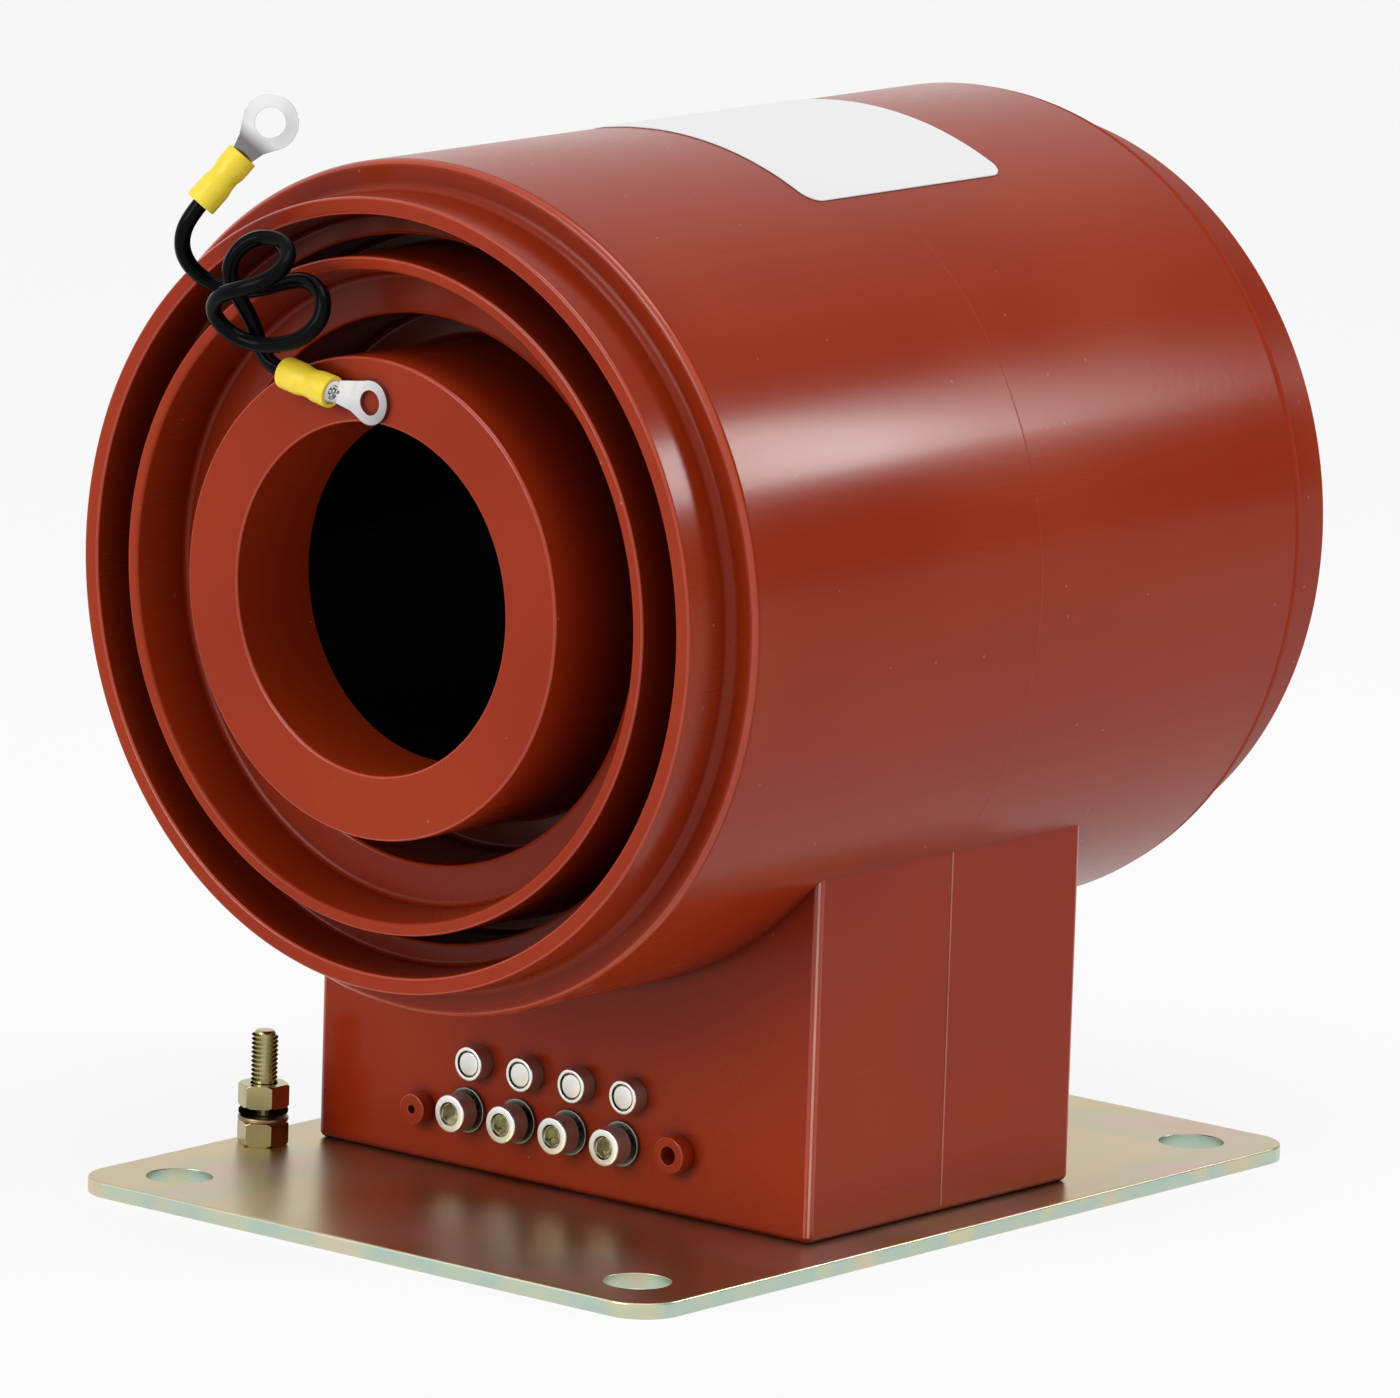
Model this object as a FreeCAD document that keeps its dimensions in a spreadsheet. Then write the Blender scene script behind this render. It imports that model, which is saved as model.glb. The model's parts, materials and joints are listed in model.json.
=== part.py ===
"""Medium voltage current transformer: a window-type resin drum on a pedestal and a steel base plate.

Millimetres. +X to the right, +Y to the back, +Z up; the origin is the middle of the base plate's underside.
The primary conductor runs along Y through the window. All driving sizes are in the sheet below.
"""

import FreeCAD, Part
import math
import os
import Sketcher

doc = FreeCAD.newDocument("current_transformer")
sheet = doc.addObject("Spreadsheet::Sheet", "sizes")

# Driving sizes: name, millimetres or degrees, what it is
SIZES = [
    # drum
    ("axis_height", 142, "window axis above the underside of the plate"),
    ("drum_radius", 91.5, "outside of the drum"),
    ("hub_half_length", 112.5, "middle to the hub's end face"),
    ("drum_setback", 17, "hub's end face back to the drum's flat end face"),
    ("drum_half_length", "=hub_half_length - drum_setback", "middle to that flat face"),
    ("front_edge_bevel", 1.2, "broken front outer edge"),
    ("back_edge_bevel", 2, "broken back outer edge"),
    ("window_radius", 37.5, "bore for the primary conductor"),
    ("window_bevel", 0.8, "bevel at both mouths of the window"),
    ("hub_wall", 14, "wall of the hub round the window"),
    ("hub_radius", "=window_radius + hub_wall", "outside of the hub"),
    ("rib_setback", 3.5, "hub's end face back to the crest of both ribs"),
    ("rib_half_length", "=hub_half_length - rib_setback", "middle to the crest of both ribs"),
    ("rim_ledge", 6.75, "flat ring between drum skin and outer rib"),
    ("outer_rib_outer", "=drum_radius - rim_ledge", "outer wall of the outer rib"),
    ("outer_rib_crest", 3.75, "crest of the outer rib"),
    ("outer_rib_crest_in", "=outer_rib_outer - outer_rib_crest", "inner edge of that crest"),
    ("outer_rib_taper", 0.8, "draft of the outer rib's inner wall"),
    ("outer_rib_root", "=outer_rib_crest_in - outer_rib_taper", "that wall at its root"),
    ("outer_groove_ledge", 4.7, "flat ring between outer rib and outer groove"),
    ("outer_groove_outer", "=outer_rib_root - outer_groove_ledge", "outer wall of the groove"),
    ("outer_groove_width", 3.3, "groove beside the inner rib"),
    ("inner_rib_outer", "=outer_groove_outer - outer_groove_width", "outer wall of the inner rib"),
    ("inner_rib_crest", 2.8, "crest of the inner rib"),
    ("inner_rib_crest_in", "=inner_rib_outer - inner_rib_crest", "inner edge of that crest"),
    ("inner_rib_taper", 2, "draft of the inner rib's inner wall"),
    ("inner_rib_root", "=inner_rib_crest_in - inner_rib_taper", "that wall at its root"),
    ("inner_groove_share", 0.4528301887, "groove beside the hub, part of the room to the rib"),
    (
        "inner_groove_outer",
        "=hub_radius + (inner_rib_root - hub_radius) * inner_groove_share",
        "outer wall of the creepage groove beside the hub",
    ),
    ("inner_groove_depth", 23.5, "groove beside the hub, from the drum's flat face"),
    ("inner_groove_floor", "=drum_half_length - inner_groove_depth", "middle to its floor"),
    ("outer_groove_depth", 17.5, "groove beside the inner rib, from the same face"),
    ("outer_groove_floor", "=drum_half_length - outer_groove_depth", "middle to its floor"),
    ("rib_foot_bevel", 1.4, "concave bevel at the foot of the outer rib"),
    ("rib_edge_bevel", 0.5, "bevel on the crests of hub and ribs"),
    # pedestal
    ("plate_thickness", 3.5, "base plate"),
    ("pedestal_width", 140, "pedestal along X"),
    ("pedestal_depth", 90, "pedestal along Y"),
    ("pedestal_corner", 2.5, "round of the upright edges"),
    ("pedestal_foot_round", 1, "round of the bottom edge"),
    ("pedestal_bury", 3, "how far the pedestal runs up into the drum"),
    ("boss_reach", 4, "cover bosses in front of the pedestal"),
    ("left_boss_x", -39.4, "left cover boss"),
    ("left_boss_z", 15.4, "left cover boss"),
    ("left_boss_radius", 3.5, "left cover boss"),
    ("left_boss_hole", 0.95, "radius of its pilot hole"),
    ("right_boss_x", 33.6, "right cover boss"),
    ("right_boss_z", 17.6, "right cover boss"),
    ("right_boss_radius", 4.2, "right cover boss"),
    ("right_boss_hole", 2, "radius of its screw hole"),
    ("boss_hole_depth", 9, "depth of both holes"),
    # base plate
    ("plate_width", 164, "base plate along X"),
    ("plate_length", "=2 * hub_half_length", "base plate along Y, flush with the hub"),
    ("plate_corner", 10, "round of its corners"),
    ("plate_chamfer", 0.3, "broken top edge"),
    ("fixing_edge", 17, "fixing holes from the plate's edges"),
    ("fixing_spacing_x", "=plate_width - 2 * fixing_edge", "fixing holes along X"),
    ("fixing_spacing_y", "=plate_length - 2 * fixing_edge", "fixing holes along Y"),
    ("fixing_hole_radius", 7.25, "fixing holes"),
    # fixing of the pedestal on the plate
    ("foot_screw_x", 50, "plate screws from the middle"),
    ("foot_screw_y", 28, "plate screws from the middle"),
    ("foot_screw_radius", 4, "plate screw shank"),
    ("foot_screw_head", 7.5, "radius of its countersunk head"),
    ("foot_screw_length", 18, "plate screw"),
    ("foot_insert_radius", 7, "threaded insert in the pedestal foot"),
    ("foot_insert_length", 22, "threaded insert in the pedestal foot"),
    # secondary terminals
    ("terminal_pitch", 14.65, "terminal to terminal"),
    ("lower_row_middle", -4.4, "X of the lower row's middle"),
    ("lower_row_height", 17, "Z of the lower row"),
    ("upper_row_middle", -1.5, "X of the upper row's middle"),
    ("upper_row_height", 28.2, "Z of the upper row"),
    ("lower_insert_radius", 4, "brass insert of the lower row, hidden by its washer"),
    ("upper_insert_radius", 3.5, "brass insert of the upper row, hidden by its head"),
    ("insert_length", 18, "brass inserts of both rows"),
    ("insert_hole_depth", 14, "threaded hole in the insert"),
    ("screw_radius", 2.5, "M5 shank of the lower row"),
    ("screw_reach", 10, "shanks of both rows inside their inserts"),
    ("thread_clearance", 0.05, "between a shank and its hole"),
    ("head_radius", 4.15, "socket cap head"),
    ("head_height", 4.6, "socket cap head"),
    ("head_chamfer", 0.4, "rim of the head"),
    ("socket_flats", 4, "hexagon socket across its flats"),
    ("socket_mouth", 2.7, "radius of the socket's bevelled mouth"),
    ("socket_depth", 2.5, "hexagon socket"),
    ("flat_washer_radius", 5, "M5 flat washer"),
    ("flat_washer_thickness", 0.9, "M5 flat washer"),
    ("spring_washer_radius", 4.7, "M5 spring washer"),
    ("spring_washer_thickness", 1, "M5 spring washer"),
    ("washer_hole", 2.65, "radius of the holes in both washers"),
    ("spring_washer_slot", 0.7, "gap where the spring washer is split"),
    ("link_screw_radius", 2, "M4 shank of the upper row"),
    ("link_head_radius", 3.8, "upper row head"),
    ("link_head_height", 4.1, "upper row head"),
    ("link_socket_radius", 2.95, "round recess in that head"),
    ("link_socket_depth", 2.4, "round recess in that head"),
    ("cap_radius", 2.6, "plug disc in the recess"),
    ("cap_thickness", 2.1, "plug disc"),
    ("cap_foot_radius", 2.9, "foot of the plug disc"),
    ("cap_foot_height", 0.8, "foot of the plug disc"),
    # earthing bolt
    ("earth_x", -74.1, "earthing bolt"),
    ("earth_y", -58.5, "earthing bolt"),
    ("earth_radius", 3, "M6 stud"),
    ("earth_top", 29, "top of the stud above the underside"),
    ("earth_chamfer", 0.7, "top of the stud"),
    ("earth_head_radius", 4.5, "flush head under the plate"),
    ("earth_head_height", 1.2, "flush head under the plate"),
    ("nut_flats", 10, "M6 nut across its flats"),
    ("nut_height", 5.2, "M6 nut"),
    ("nut_chamfer", 0.5, "corner bevel of the nut"),
    ("earth_washer_radius", 5.6, "M6 flat washer"),
    ("earth_washer_thickness", 1.2, "M6 flat washer"),
    ("earth_spring_radius", 5.5, "M6 spring washer"),
    ("earth_spring_height", 2, "M6 spring washer"),
    ("earth_spring_slot", 0.9, "gap where it is split"),
    # cores and windings
    ("winding_bore_wall", 14.5, "resin and screen between window and windings"),
    ("winding_inner", "=window_radius + winding_bore_wall", "inside radius of both windings"),
    ("winding_skin", 7.5, "resin over the windings"),
    ("winding_outer", "=drum_radius - winding_skin", "outside radius of both windings"),
    ("winding_wall_end", 4, "winding build-up on the core's ends"),
    ("winding_wall_side", 5, "winding build-up inside and outside the core"),
    ("winding_cover", 12, "resin between a winding's end and the groove beside the hub"),
    ("measuring_front", "=winding_cover - inner_groove_floor", "front end of the measuring winding"),
    ("lead_room", 9, "terminal insert back to the measuring winding's ends"),
    (
        "measuring_lead_y",
        "=insert_length + lead_room - pedestal_depth / 2",
        "drop of the measuring winding's ends",
    ),
    ("measuring_lead_inset", 4, "that drop to the winding's back end"),
    ("measuring_back", "=measuring_lead_y + measuring_lead_inset", "back end of the measuring winding"),
    ("winding_gap", 6, "resin between the two windings"),
    ("protection_front", "=measuring_back + winding_gap", "front end of the protection winding"),
    ("protection_lead_inset", 5, "drop of its ends to the winding's front end"),
    ("protection_lead_y", "=protection_front + protection_lead_inset", "drop of its ends"),
    ("protection_back", "=inner_groove_floor - winding_cover", "back end of the protection winding"),
    ("core_clearance", 0.2, "insulating wrap between core and winding"),
    ("screen_cover", 3.5, "resin between window and screen"),
    ("screen_inner", "=window_radius + screen_cover", "inside radius of the bore screen"),
    ("screen_wall", 1, "wall of the bore screen"),
    ("screen_setback", 34.5, "hub's end face back to the end of the screen"),
    ("screen_half_length", "=hub_half_length - screen_setback", "middle to the end of the screen"),
    ("lead_radius", 1.25, "winding end, insulated"),
    ("lead_bend", 8, "bend of a winding end"),
    # rating plate
    ("label_front", -22, "front edge of the rating plate"),
    ("label_back", 44, "back edge of the rating plate"),
    ("label_middle_angle", 82.5, "its middle, degrees up from +X"),
    ("label_height", 64, "its height, straight across"),
    ("label_corner", 4, "round of its corners"),
    ("label_thickness", 0.2, "rating plate"),
    ("label_glue", 0.1, "bond between rating plate and drum"),
    # loose lead with ring terminals
    ("wire_radius", 1.75, "insulated lead"),
    ("ring_thickness", 1, "both ring tongues"),
    ("upper_ring_radius", 6, "ring tongue for an M6 stud"),
    ("upper_ring_hole", 3.25, "its hole"),
    ("upper_tongue_bend", 6, "its centre to the start of the neck"),
    ("upper_barrel_start", 8.9, "its centre to barrel and sleeve"),
    ("lower_ring_radius", 4.75, "ring tongue for an M5 screw"),
    ("lower_ring_hole", 2.65, "its hole"),
    ("lower_tongue_bend", 4.8, "its centre to the start of the neck"),
    ("lower_barrel_start", 8, "its centre to barrel and sleeve"),
    ("tongue_angle", 64, "where the tongue leaves the ring, degrees"),
    ("tongue_half_width", 3.3, "tongue at the start of the neck"),
    ("barrel_radius", 2.6, "barrel"),
    ("barrel_lift", 3.75, "barrel axis above the ring's seat"),
    ("neck_inset", 0.1, "side of the barrel in to the edge of the neck"),
    ("neck_rise", 0.2, "underside of the barrel up to the underside of the neck"),
    ("sleeve_length", 13.8, "insulating sleeve, flush with the barrel's front end"),
    ("sleeve_overhang", 2.5, "sleeve beyond the barrel"),
    ("sleeve_radius", 3.5, "insulating sleeve"),
    ("sleeve_waist", 3.15, "crimped waist of the sleeve"),
    ("sleeve_waist_from", 5.4, "front end of the sleeve to the waist"),
    ("sleeve_waist_to", 7.4, "front end of the sleeve to the end of the waist"),
    ("sleeve_flank", 1.2, "slope beside the waist"),
    ("sleeve_fit", 0.05, "between sleeve and barrel or wire"),
    ("lead_straight", 3.2, "straight lead outside each sleeve"),
    ("lower_ring_x", -0.4, "lower ring centre on the hub face"),
    ("lower_ring_rise", 42, "lower ring centre above the window axis"),
    ("lower_ring_turn", 10.8, "slope of the lower terminal, degrees"),
]


class Size:
    """A length with the sheet formula that gives it."""

    def __init__(self, value, formula):
        self.value = float(value)
        self.formula = formula

    def __add__(self, other):
        other = size(other)
        return Size(self.value + other.value, f"({self.formula} + {other.formula})")

    def __sub__(self, other):
        other = size(other)
        return Size(self.value - other.value, f"({self.formula} - {other.formula})")

    def __mul__(self, other):
        other = size(other)
        return Size(self.value * other.value, f"({self.formula} * {other.formula})")

    def __truediv__(self, other):
        other = size(other)
        return Size(self.value / other.value, f"({self.formula} / {other.formula})")

    def __neg__(self):
        return Size(-self.value, f"(0 - {self.formula})")


def size(number):
    return number if isinstance(number, Size) else Size(number, repr(float(number)))


def root(length):
    return Size(math.sqrt(length.value), f"sqrt({length.formula})")


def sine(degrees):
    degrees = size(degrees)
    return Size(math.sin(math.radians(degrees.value)), f"sin({degrees.formula})")


def cosine(degrees):
    degrees = size(degrees)
    return Size(math.cos(math.radians(degrees.value)), f"cos({degrees.formula})")


for row, (name, value, meaning) in enumerate(SIZES, start=1):
    sheet.set(f"A{row}", str(value))
    sheet.set(f"B{row}", meaning)
    sheet.setAlias(f"A{row}", name)
doc.recompute()


def s(name):
    return Size(sheet.get(name), f"sizes.{name}")


ZERO = size(0)
NODES = []


def node(thing, name):
    """Gives a finished sub-part its name."""
    thing.Label = name
    NODES.append(thing)
    return thing


def bind(thing, path, length):
    """Ties a property to its formula."""
    thing.setExpression(path, size(length).formula)


def sketch(body, name, role, across=ZERO, up=ZERO, out=ZERO):
    """A sketch on one of the body's own planes, shifted in it and off it."""
    drawing = body.newObject("Sketcher::SketchObject", name)
    plane = [f for f in body.Origin.OriginFeatures if f.Role == role][0]
    drawing.AttachmentSupport = [(plane, "")]
    drawing.MapMode = "FlatFace"
    for letter, length in (("x", across), ("y", up), ("z", out)):
        bind(drawing, f"AttachmentOffset.Base.{letter}", length)
    return drawing


def draw_outline(drawing, corners):
    """A closed outline, each corner fixed by its two distances from the sketch's origin."""
    points = [FreeCAD.Vector(a.value, b.value, 0) for a, b in corners]
    lines = []
    for start, end in zip(points, points[1:] + points[:1]):
        lines.append(drawing.addGeometry(Part.LineSegment(start, end), False))
    for line, following in zip(lines, lines[1:] + lines[:1]):
        drawing.addConstraint(Sketcher.Constraint("Coincident", line, 2, following, 1))
    for line, corner in zip(lines, corners):
        for kind, length in zip(("DistanceX", "DistanceY"), corner):
            rule = Sketcher.Constraint(kind, -1, 1, line, 1, length.value)
            bind(drawing, f"Constraints[{drawing.addConstraint(rule)}]", length)


def draw_circle(drawing, across, up, radius):
    centre = FreeCAD.Vector(across.value, up.value, 0)
    circle = Part.Circle(centre, FreeCAD.Vector(0, 0, 1), radius.value)
    index = drawing.addGeometry(circle, False)
    for kind, length in (("DistanceX", across), ("DistanceY", up)):
        rule = Sketcher.Constraint(kind, -1, 1, index, 3, length.value)
        bind(drawing, f"Constraints[{drawing.addConstraint(rule)}]", length)
    rule = Sketcher.Constraint("Radius", index, radius.value)
    bind(drawing, f"Constraints[{drawing.addConstraint(rule)}]", radius)


def rectangle(left, right, low, high):
    return [(left, low), (right, low), (right, high), (left, high)]


def hexagon(flats):
    """Corners of a hexagon with two corners up and down."""
    corner = flats / 2 / cosine(30)
    return [(corner * sine(60 * k), corner * cosine(60 * k)) for k in range(6)]


def revolve(body, drawing, axis):
    turned = body.newObject("PartDesign::Revolution", "Turned")
    turned.Profile = drawing
    turned.ReferenceAxis = (drawing, [axis])
    turned.Angle = 360
    return turned


def pad(body, drawing, length, name="Pad"):
    made = body.newObject("PartDesign::Pad", name)
    made.Profile = drawing
    bind(made, "Length", length)
    return made


def pocket(body, drawing, depth, name="Pocket"):
    """A pocket against the sketch's normal, which has to take material away."""
    doc.recompute()
    before = body.Tip.Shape.Volume
    made = body.newObject("PartDesign::Pocket", name)
    made.Profile = drawing
    bind(made, "Length", depth)
    doc.recompute()
    if not made.Shape.Volume < before:
        raise ValueError(f"{name} in {body.Label} cuts nothing")
    return made


def groove(body, drawing, axis, name):
    """A turned groove, which has to take material away."""
    doc.recompute()
    before = body.Tip.Shape.Volume
    made = body.newObject("PartDesign::Groove", name)
    made.Profile = drawing
    made.ReferenceAxis = (drawing, [axis])
    made.Angle = 360
    doc.recompute()
    if not made.Shape.Volume < before:
        raise ValueError(f"{name} in {body.Label} cuts nothing")
    return made


def dress(body, kind, edges, path, length, name):
    """A fillet or chamfer on the named edges of the body's last feature."""
    base = body.Tip
    made = body.newObject(f"PartDesign::{kind}", name)
    made.Base = (base, edges)
    bind(made, path, length)
    doc.recompute()
    return made


def circle_edges(shape, wanted, axis, tolerance=0.01):
    """Names of the circular edges about the axis, given as pairs of place along it and radius."""
    names = []
    for index, edge in enumerate(shape.Edges, start=1):
        if not isinstance(edge.Curve, Part.Circle):
            continue
        along = edge.Curve.Center.dot(axis)
        for place, radius in wanted:
            off = max(abs(along - place.value), abs(edge.Curve.Radius - radius.value))
            if off < tolerance:
                names.append(f"Edge{index}")
    return names


def line_edges(shape, test):
    """Names of the straight edges whose two ends pass the test."""
    names = []
    for index, edge in enumerate(shape.Edges, start=1):
        if isinstance(edge.Curve, Part.Line) and test(*[v.Point for v in edge.Vertexes]):
            names.append(f"Edge{index}")
    return names


def upright(a, b):
    return abs(a.z - b.z) > 1e-6


# Turned pieces about an axis along Y; corners are (y, radius)
def turned_along(name, corners, x=ZERO, z=s("axis_height")):
    body = doc.addObject("PartDesign::Body", name)
    drawing = sketch(body, "Profile", "YZ_Plane", ZERO, z, x)
    draw_outline(drawing, corners)
    revolve(body, drawing, "H_Axis")
    doc.recompute()
    return body


# Turned pieces about an upright axis; corners are (radius, z)
def turned_upright(name, corners, x=ZERO, y=ZERO):
    body = doc.addObject("PartDesign::Body", name)
    drawing = sketch(body, "Profile", "XZ_Plane", x, ZERO, -y)
    draw_outline(drawing, corners)
    revolve(body, drawing, "V_Axis")
    doc.recompute()
    return body


# Places shared by the pieces
pedestal_front = -s("pedestal_depth") / 2
foot_level = s("plate_thickness")
junction = s("axis_height") - root(
    s("drum_radius") * s("drum_radius") - s("pedestal_width") * s("pedestal_width") / 4
)
nut_level = s("plate_thickness")
washer_level = nut_level + s("nut_height")
spring_level = washer_level + s("earth_washer_thickness")
upper_nut_level = spring_level + s("earth_spring_height")
screen_outer = s("screen_inner") + s("screen_wall")
flat_washer_face = pedestal_front - s("flat_washer_thickness")
spring_washer_face = flat_washer_face - s("spring_washer_thickness")
screw_face = spring_washer_face - s("head_height")
link_face = pedestal_front - s("link_head_height")
insert_back = pedestal_front + s("insert_length")
TERMINALS = range(4)


def terminal_x(row_middle, index):
    return row_middle + s("terminal_pitch") * (index - 1.5)


# Casting: pedestal first, then the drum turned over it
casting = doc.addObject("PartDesign::Body", "Casting")
outline = sketch(casting, "PedestalOutline", "XY_Plane", out=foot_level)
half_width = s("pedestal_width") / 2
half_depth = s("pedestal_depth") / 2
draw_outline(outline, rectangle(-half_width, half_width, -half_depth, half_depth))
pad(casting, outline, junction + s("pedestal_bury") - foot_level, "Pedestal")
doc.recompute()
corners = line_edges(casting.Tip.Shape, upright)
dress(casting, "Fillet", corners, "Radius", s("pedestal_corner"), "PedestalCorners")
foot = [
    f"Edge{i}"
    for i, e in enumerate(casting.Tip.Shape.Edges, start=1)
    if abs(e.BoundBox.ZMax - foot_level.value) < 0.01
]
dress(casting, "Fillet", foot, "Radius", s("pedestal_foot_round"), "PedestalFoot")


def drum_end(sign):
    """Corners of one end of the drum, from the drum's skin in to the window."""
    face = s("drum_half_length") * sign
    crest = s("rib_half_length") * sign
    return [
        (face, s("drum_radius")),
        (face, s("outer_rib_outer")),
        (crest, s("outer_rib_outer")),
        (crest, s("outer_rib_crest_in")),
        (face, s("outer_rib_root")),
        (face, s("outer_groove_outer")),
        (s("outer_groove_floor") * sign, s("outer_groove_outer")),
        (s("outer_groove_floor") * sign, s("inner_rib_outer")),
        (crest, s("inner_rib_outer")),
        (crest, s("inner_rib_crest_in")),
        (face, s("inner_rib_root")),
        (face, s("inner_groove_outer")),
        (s("inner_groove_floor") * sign, s("inner_groove_outer")),
        (s("inner_groove_floor") * sign, s("hub_radius")),
        (s("hub_half_length") * sign, s("hub_radius")),
        (s("hub_half_length") * sign, s("window_radius")),
    ]


outline = sketch(casting, "DrumProfile", "YZ_Plane", up=s("axis_height"))
draw_outline(outline, drum_end(-1) + drum_end(1)[::-1])
revolve(casting, outline, "H_Axis")
doc.recompute()

along = FreeCAD.Vector(0, 1, 0)
hub_end = s("hub_half_length")
rib_end = s("rib_half_length")
face_end = s("drum_half_length")
crests = [
    (rib_end, s("outer_rib_outer")),
    (rib_end, s("outer_rib_crest_in")),
    (rib_end, s("inner_rib_outer")),
    (rib_end, s("inner_rib_crest_in")),
    (hub_end, s("hub_radius")),
]


def both_ends(pairs):
    return pairs + [(-place, radius) for place, radius in pairs]


for label, bevel, wanted in (
    ("FrontEdge", "front_edge_bevel", [(-face_end, s("drum_radius"))]),
    ("BackEdge", "back_edge_bevel", [(face_end, s("drum_radius"))]),
    ("WindowMouths", "window_bevel", both_ends([(hub_end, s("window_radius"))])),
    ("RibFoot", "rib_foot_bevel", both_ends([(face_end, s("outer_rib_outer"))])),
    ("Crests", "rib_edge_bevel", both_ends(crests)),
):
    edges = circle_edges(casting.Tip.Shape, wanted, along)
    if len(edges) < len(wanted):
        raise ValueError(f"{label}: an edge to bevel isn't there")
    dress(casting, "Chamfer", edges, "Size", s(bevel), label)

# Cover bosses and their holes
for side in ("left", "right"):
    place = (s(f"{side}_boss_x"), s(f"{side}_boss_z"))
    outline = sketch(casting, f"{side}Boss", "XZ_Plane", out=-pedestal_front)
    draw_circle(outline, *place, s(f"{side}_boss_radius"))
    pad(casting, outline, s("boss_reach"), f"{side}BossPad")
    outline = sketch(
        casting, f"{side}Hole", "XZ_Plane", out=s("boss_reach") - pedestal_front
    )
    draw_circle(outline, *place, s(f"{side}_boss_hole"))
    pocket(casting, outline, s("boss_hole_depth"), f"{side}BossHole")

# Seats of the eight terminal inserts, each row a pattern of one seat
for row in ("lower", "upper"):
    outline = sketch(casting, f"{row}Seat", "XZ_Plane", out=-pedestal_front)
    first = terminal_x(s(f"{row}_row_middle"), 0)
    draw_circle(outline, first, s(f"{row}_row_height"), s(f"{row}_insert_radius"))
    seat = pocket(casting, outline, s("insert_length"), f"{row}InsertSeat")
    before = casting.Tip.Shape.Volume
    repeat = casting.newObject("PartDesign::LinearPattern", f"{row}Seats")
    repeat.Originals = [seat]
    repeat.Direction = (outline, ["H_Axis"])
    bind(repeat, "Length", s("terminal_pitch") * (len(TERMINALS) - 1))
    repeat.Occurrences = len(TERMINALS)
    casting.Tip = repeat
    doc.recompute()
    if not repeat.Shape.Volume < before:
        raise ValueError(f"{row} seats: the pattern cuts nothing")

# Seats of the foot inserts
outline = sketch(casting, "FootSeats", "XY_Plane", out=foot_level)
FEET = [(i, j) for i in (-1, 1) for j in (-1, 1)]
for i, j in FEET:
    draw_circle(
        outline, s("foot_screw_x") * i, s("foot_screw_y") * j, s("foot_insert_radius")
    )
doc.recompute()
before = casting.Tip.Shape.Volume
seats = casting.newObject("PartDesign::Pocket", "FootInsertSeats")
seats.Profile = outline
seats.Reversed = True
bind(seats, "Length", s("foot_insert_length"))
doc.recompute()
if not seats.Shape.Volume < before:
    raise ValueError("the foot seats cut nothing")

# Room for the windings and the bore screen
ROOMS = (
    ("MeasuringRoom", "measuring_front", "measuring_back"),
    ("ProtectionRoom", "protection_front", "protection_back"),
)
for label, front, back in ROOMS:
    outline = sketch(casting, f"{label}Profile", "YZ_Plane", up=s("axis_height"))
    draw_outline(
        outline, rectangle(s(front), s(back), s("winding_inner"), s("winding_outer"))
    )
    groove(casting, outline, "H_Axis", label)
outline = sketch(casting, "ScreenProfile", "YZ_Plane", up=s("axis_height"))
screen_section = rectangle(
    -s("screen_half_length"), s("screen_half_length"), s("screen_inner"), screen_outer
)
draw_outline(outline, screen_section)
groove(casting, outline, "H_Axis", "ScreenRoom")

# Cores, windings and screen, cast in
for name, front, back in (
    ("measuring", "measuring_front", "measuring_back"),
    ("protection", "protection_front", "protection_back"),
):
    wall_end = s("winding_wall_end")
    wall_side = s("winding_wall_side")
    inner = s("winding_inner") + wall_side
    outer = s("winding_outer") - wall_side
    room = rectangle(s(front) + wall_end, s(back) - wall_end, inner, outer)
    gap = s("core_clearance")
    core = rectangle(
        s(front) + wall_end + gap, s(back) - wall_end - gap, inner + gap, outer - gap
    )
    node(turned_along(f"{name}Core", core), f"{name}_core")
    body = turned_along(
        f"{name}Winding",
        rectangle(s(front), s(back), s("winding_inner"), s("winding_outer")),
    )
    outline = sketch(body, "CoreRoom", "YZ_Plane", up=s("axis_height"))
    draw_outline(outline, room)
    groove(body, outline, "H_Axis", "CoreRoomGroove")
    node(body, f"{name}_winding")
node(turned_along("BoreScreen", screen_section), "bore_screen")


LEAD_SIDES = 8


def tube(name, points, bends, radius):
    """A plain eight-sided lead along straight runs joined by tangent arcs of the given radii."""
    edges = []
    last = points[0]
    for before, corner, after, bend in zip(points, points[1:], points[2:], bends):
        into = (before - corner).normalize()
        out = (after - corner).normalize()
        half = into.getAngle(out) / 2
        start = corner + into * (bend / math.tan(half))
        end = corner + out * (bend / math.tan(half))
        centre = corner + (into + out).normalize() * (bend / math.sin(half))
        middle = centre + (corner - centre).normalize() * bend
        if (start - last).Length > 1e-6:
            edges.append(Part.LineSegment(last, start).toShape())
        edges.append(Part.Arc(start, middle, end).toShape())
        last = end
    edges.append(Part.LineSegment(last, points[-1]).toShape())
    path = Part.Wire(edges)
    ahead = (points[1] - points[0]).normalize()
    side = ahead.cross(FreeCAD.Vector(0, 0, 1))
    if side.Length < 0.1:
        side = FreeCAD.Vector(1, 0, 0)
    side.normalize()
    other = ahead.cross(side)
    turns = [math.tau * k / LEAD_SIDES for k in range(LEAD_SIDES + 1)]
    section = Part.makePolygon(
        [
            points[0] + side * (radius * math.cos(a)) + other * (radius * math.sin(a))
            for a in turns
        ]
    )
    made = doc.addObject("Part::Feature", name)
    made.Shape = path.makePipeShell([section], True, False)
    wanted = path.Length * radius * radius * math.sin(turns[1]) * LEAD_SIDES / 2
    print(f"{name}: {path.Length:.1f} mm long, volume {made.Shape.Volume / wanted:.4f}")
    return made


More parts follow.
